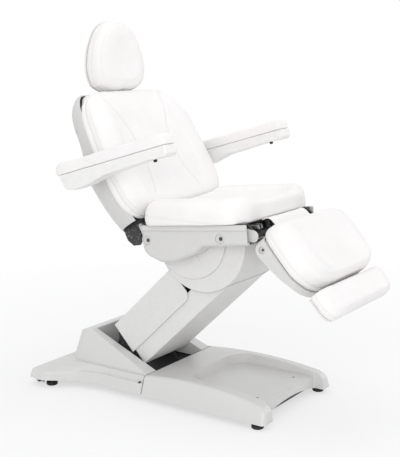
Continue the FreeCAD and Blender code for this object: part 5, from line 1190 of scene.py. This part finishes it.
@dataclass
class Arms:
    """The two arm pads."""

    lean: float = 16.3
    voxel: float = 0.0045
    seam_level: float = 0.35
    seam_points: int = 260
    seam: Seam = Seam(0.0014, 0.003, rows=(0.0028,))

    def build(self) -> None:
        """Fill, sew and hang both pads."""
        for side in ("left", "right"):
            pad = Cushion(f"arm_pad_{side}", f"arm_{side}", *tilted(self.lean), self.voxel).build()
            pad.sew(pad.ring(self.seam_level, self.seam_points), self.seam, "side")
            pad.dressed()


@dataclass
class Gasket:
    """The thin dark gasket where the front and the rear cover meet."""

    radius: float = 0.0011
    around: int = 8
    step: float = 0.006
    rim_deep: float = 0.0008
    foot: float = 0.003
    start_drop: float = 0.02

    def build(self) -> None:
        """Lay the gasket up one side, over the top and down the other."""
        points = vertices_of(frame["nodes"]["front_cover"].data)
        rear = float(points[:, 1].max())
        rim = [(float(x), float(z)) for x, _, z in points[points[:, 1] > rear - self.rim_deep]]
        hull = [rim[k] for k in convex_hull_2d(rim)]
        low = min(z for _, z in hull) + self.foot
        loop = resampled([Vector((x, rear, z)) for x, z in hull], self.step, True)
        path = [p for p in loop if p.z > low]
        path.sort(key=lambda p: math.atan2(p.x, p.z - low + self.start_drop))
        made = []
        for k, spot in enumerate(path):
            ahead = heading(path, k)
            side = ahead.cross(Vector((0, 1, 0))).normalized()
            made += circle(spot, side * self.radius, ahead.cross(side) * self.radius, self.around)
        faces = tube_faces(len(path), self.around)
        piece = new_piece("cover_gasket", made, faces, Finish.black_rubber.material())
        hung(piece, "base")


@dataclass
class HingeCaps:
    """A rounded moulded plate over each leg hinge."""

    thick: float = 0.004
    gap: float = 0.0006
    back: float = 0.092
    above: float = 0.034
    below: float = 0.018
    radius: float = 0.0215
    turns: int = 24
    lug_long: float = 0.02
    ring_shares: tuple[Pair, ...] = ((0.0, 1.0), (0.6, 1.0), (0.9, 0.985), (1.0, 0.95))

    def outline(self) -> list[Pair]:
        """The plate's outline round the leg rest's hinge, seen from the side.

        Returns:
            Its points as Y and Z.
        """
        pivot = next(Vector(joint["pos_m"]) for joint in frame["joints"] if joint["name"] == "leg_rest")
        outline = [(pivot.y + self.back, pivot.z + self.above), (pivot.y + self.back, pivot.z - self.below)]
        for turn in range(self.turns + 1):
            angle = -math.pi / 2 - math.pi * turn / self.turns
            back, up = self.radius * math.cos(angle), self.radius * math.sin(angle)
            outline.append((pivot.y + back, pivot.z + up))
        return outline

    def build(self) -> None:
        """Set both plates on the seat frame's lugs."""
        points = vertices_of(frame["nodes"]["seat_frame"].data)
        lug = points[points[:, 1] < float(points[:, 1].min()) + self.lug_long]
        inner = float(np.abs(lug[:, 0]).max()) + self.gap
        outline = self.outline()
        mid_y, mid_z = (sum(values) / len(outline) for values in zip(*outline))
        for label, side in (("right", -1), ("left", 1)):
            made = []
            for depth, share in self.ring_shares:
                x = side * (inner + self.thick * depth)
                made += [(x, mid_y + (y - mid_y) * share, mid_z + (z - mid_z) * share) for y, z in outline]
            faces = tube_faces(len(self.ring_shares), len(outline))
            piece = new_piece(f"hinge_cap_{label}", made, faces, Finish.shell_plastic.material())
            smooth(piece, False)
            hung(piece, "seat")


@dataclass
class Studio:
    """A plain pale floor, soft lamps and the camera at the photograph's angle."""

    eye: Place = (-3.047, -2.030, 1.350)
    azimuth: float = 55.5
    down: float = 10.6
    focal_px: float = 950.0
    long_px: float = 457.0
    sensor_mm: float = 36.0
    clip_end: float = 60.0
    floor_size: float = 14.0
    floor_rings: int = 10
    floor_around: int = 48
    floor_tone: float = 0.86
    floor_glow: float = 0.62
    glow_near: float = 0.9
    glow_far: float = 2.6
    sky: Colour = (0.98, 0.985, 1.0)
    ambient: float = 0.84
    aim: Place = (0.0, 0.0, 0.6)
    lamps: tuple[tuple[str, Place, float, float], ...] = (
        ("key", (-3.6, -2.0, 1.9), 2.4, 50.0),
        ("fill", (3.2, -2.2, 1.8), 2.2, 14.0),
        ("top", (0.2, 0.2, 3.8), 2.6, 20.0),
    )

    def camera(self) -> None:
        """Stand the camera where the photograph was taken."""
        turn, dip = math.radians(self.azimuth), math.radians(self.down)
        forward = Vector((math.sin(turn) * math.cos(dip), math.cos(turn) * math.cos(dip), -math.sin(dip)))
        right = forward.cross(Vector((0, 0, 1))).normalized()
        up = right.cross(forward)
        data = bpy.data.cameras.new("view")
        data.sensor_width = self.sensor_mm
        data.lens = self.sensor_mm * self.focal_px / self.long_px
        data.clip_end = self.clip_end
        camera = bpy.data.objects.new("view", data)
        turned = Matrix((right, up, -forward)).transposed().to_4x4()
        camera.matrix_world = Matrix.Translation(Vector(self.eye)) @ turned
        bpy.context.scene.collection.objects.link(camera)
        bpy.context.scene.camera = camera

    def floor(self) -> None:
        """Lay a pale floor that keeps the chair's shadow."""
        bench = MaterialBench("floor_paint")
        reach = bench.node("ShaderNodeVectorMath", {"operation": "LENGTH"}, {0: bench.place()}, "Value")
        far = reach.stretch(self.glow_near, self.glow_far)
        glow = bench.seen() * (self.floor_glow + far * (1.0 - self.floor_glow))
        paint = bench.node("ShaderNodeBsdfDiffuse", {}, {"Color": (self.floor_tone,) * 3})
        light = bench.node("ShaderNodeEmission", {}, {"Color": (1.0, 1.0, 1.0), "Strength": 1.0})
        mixed = bench.node("ShaderNodeMixShader", {}, {0: glow, 1: paint, 2: light})
        bench.show("ShaderNodeOutputMaterial", mixed)
        around, points = self.floor_around, [Vector()]
        for ring in range(1, self.floor_rings + 1):
            radius = self.floor_size * (ring / self.floor_rings) ** 2
            points += circle(Vector(), Vector((radius, 0, 0)), Vector((0, radius, 0)), around)
        beside = [(k, (k + 1) % around) for k in range(around)]
        faces = [(0, 1 + k, 1 + after) for k, after in beside]
        for ring in range(self.floor_rings - 1):
            here, ahead = 1 + ring * around, 1 + (ring + 1) * around
            faces += [(here + k, ahead + k, ahead + after, here + after) for k, after in beside]
        new_piece("studio_floor", points, faces, bench.material)

    def world(self) -> None:
        """Light everything evenly and show white behind the chair."""
        world = bpy.data.worlds.new("studio")
        world.use_nodes = True
        bench = Bench(world.node_tree)
        sky = bench.node("ShaderNodeBackground", {}, {"Color": self.sky, "Strength": self.ambient})
        white = bench.node("ShaderNodeBackground", {}, {"Color": (1.0, 1.0, 1.0), "Strength": 1.0})
        mixed = bench.node("ShaderNodeMixShader", {}, {0: bench.seen(), 1: sky, 2: white})
        bench.show("ShaderNodeOutputWorld", mixed)
        bpy.context.scene.world = world

    def light(self) -> None:
        """Hang the soft lamps."""
        for name, at, size, power in self.lamps:
            data = bpy.data.lights.new(name, "AREA")
            data.shape, data.size, data.energy = "DISK", size, power
            lamp = bpy.data.objects.new(name, data)
            turned = (Vector(self.aim) - Vector(at)).to_track_quat("-Z", "Y").to_matrix().to_4x4()
            lamp.matrix_world = Matrix.Translation(Vector(at)) @ turned
            bpy.context.scene.collection.objects.link(lamp)

    def build(self) -> None:
        """Set up the whole studio."""
        self.camera()
        self.floor()
        self.world()
        self.light()
        bpy.context.scene.view_settings.view_transform = "Standard"


def main() -> None:
    """Build the chair's looks in order."""
    logging.basicConfig(level=logging.INFO, format="%(name)s: %(message)s")
    soft = (Seat(), Back(), Headrest(), LegRest(), GapStrip(), Arms())
    for part in (CadPieces(), *soft, Gasket(), HingeCaps(), Studio()):
        part.build()
        log.info("built %s", type(part).__name__)


if __name__ == "__main__":
    main()
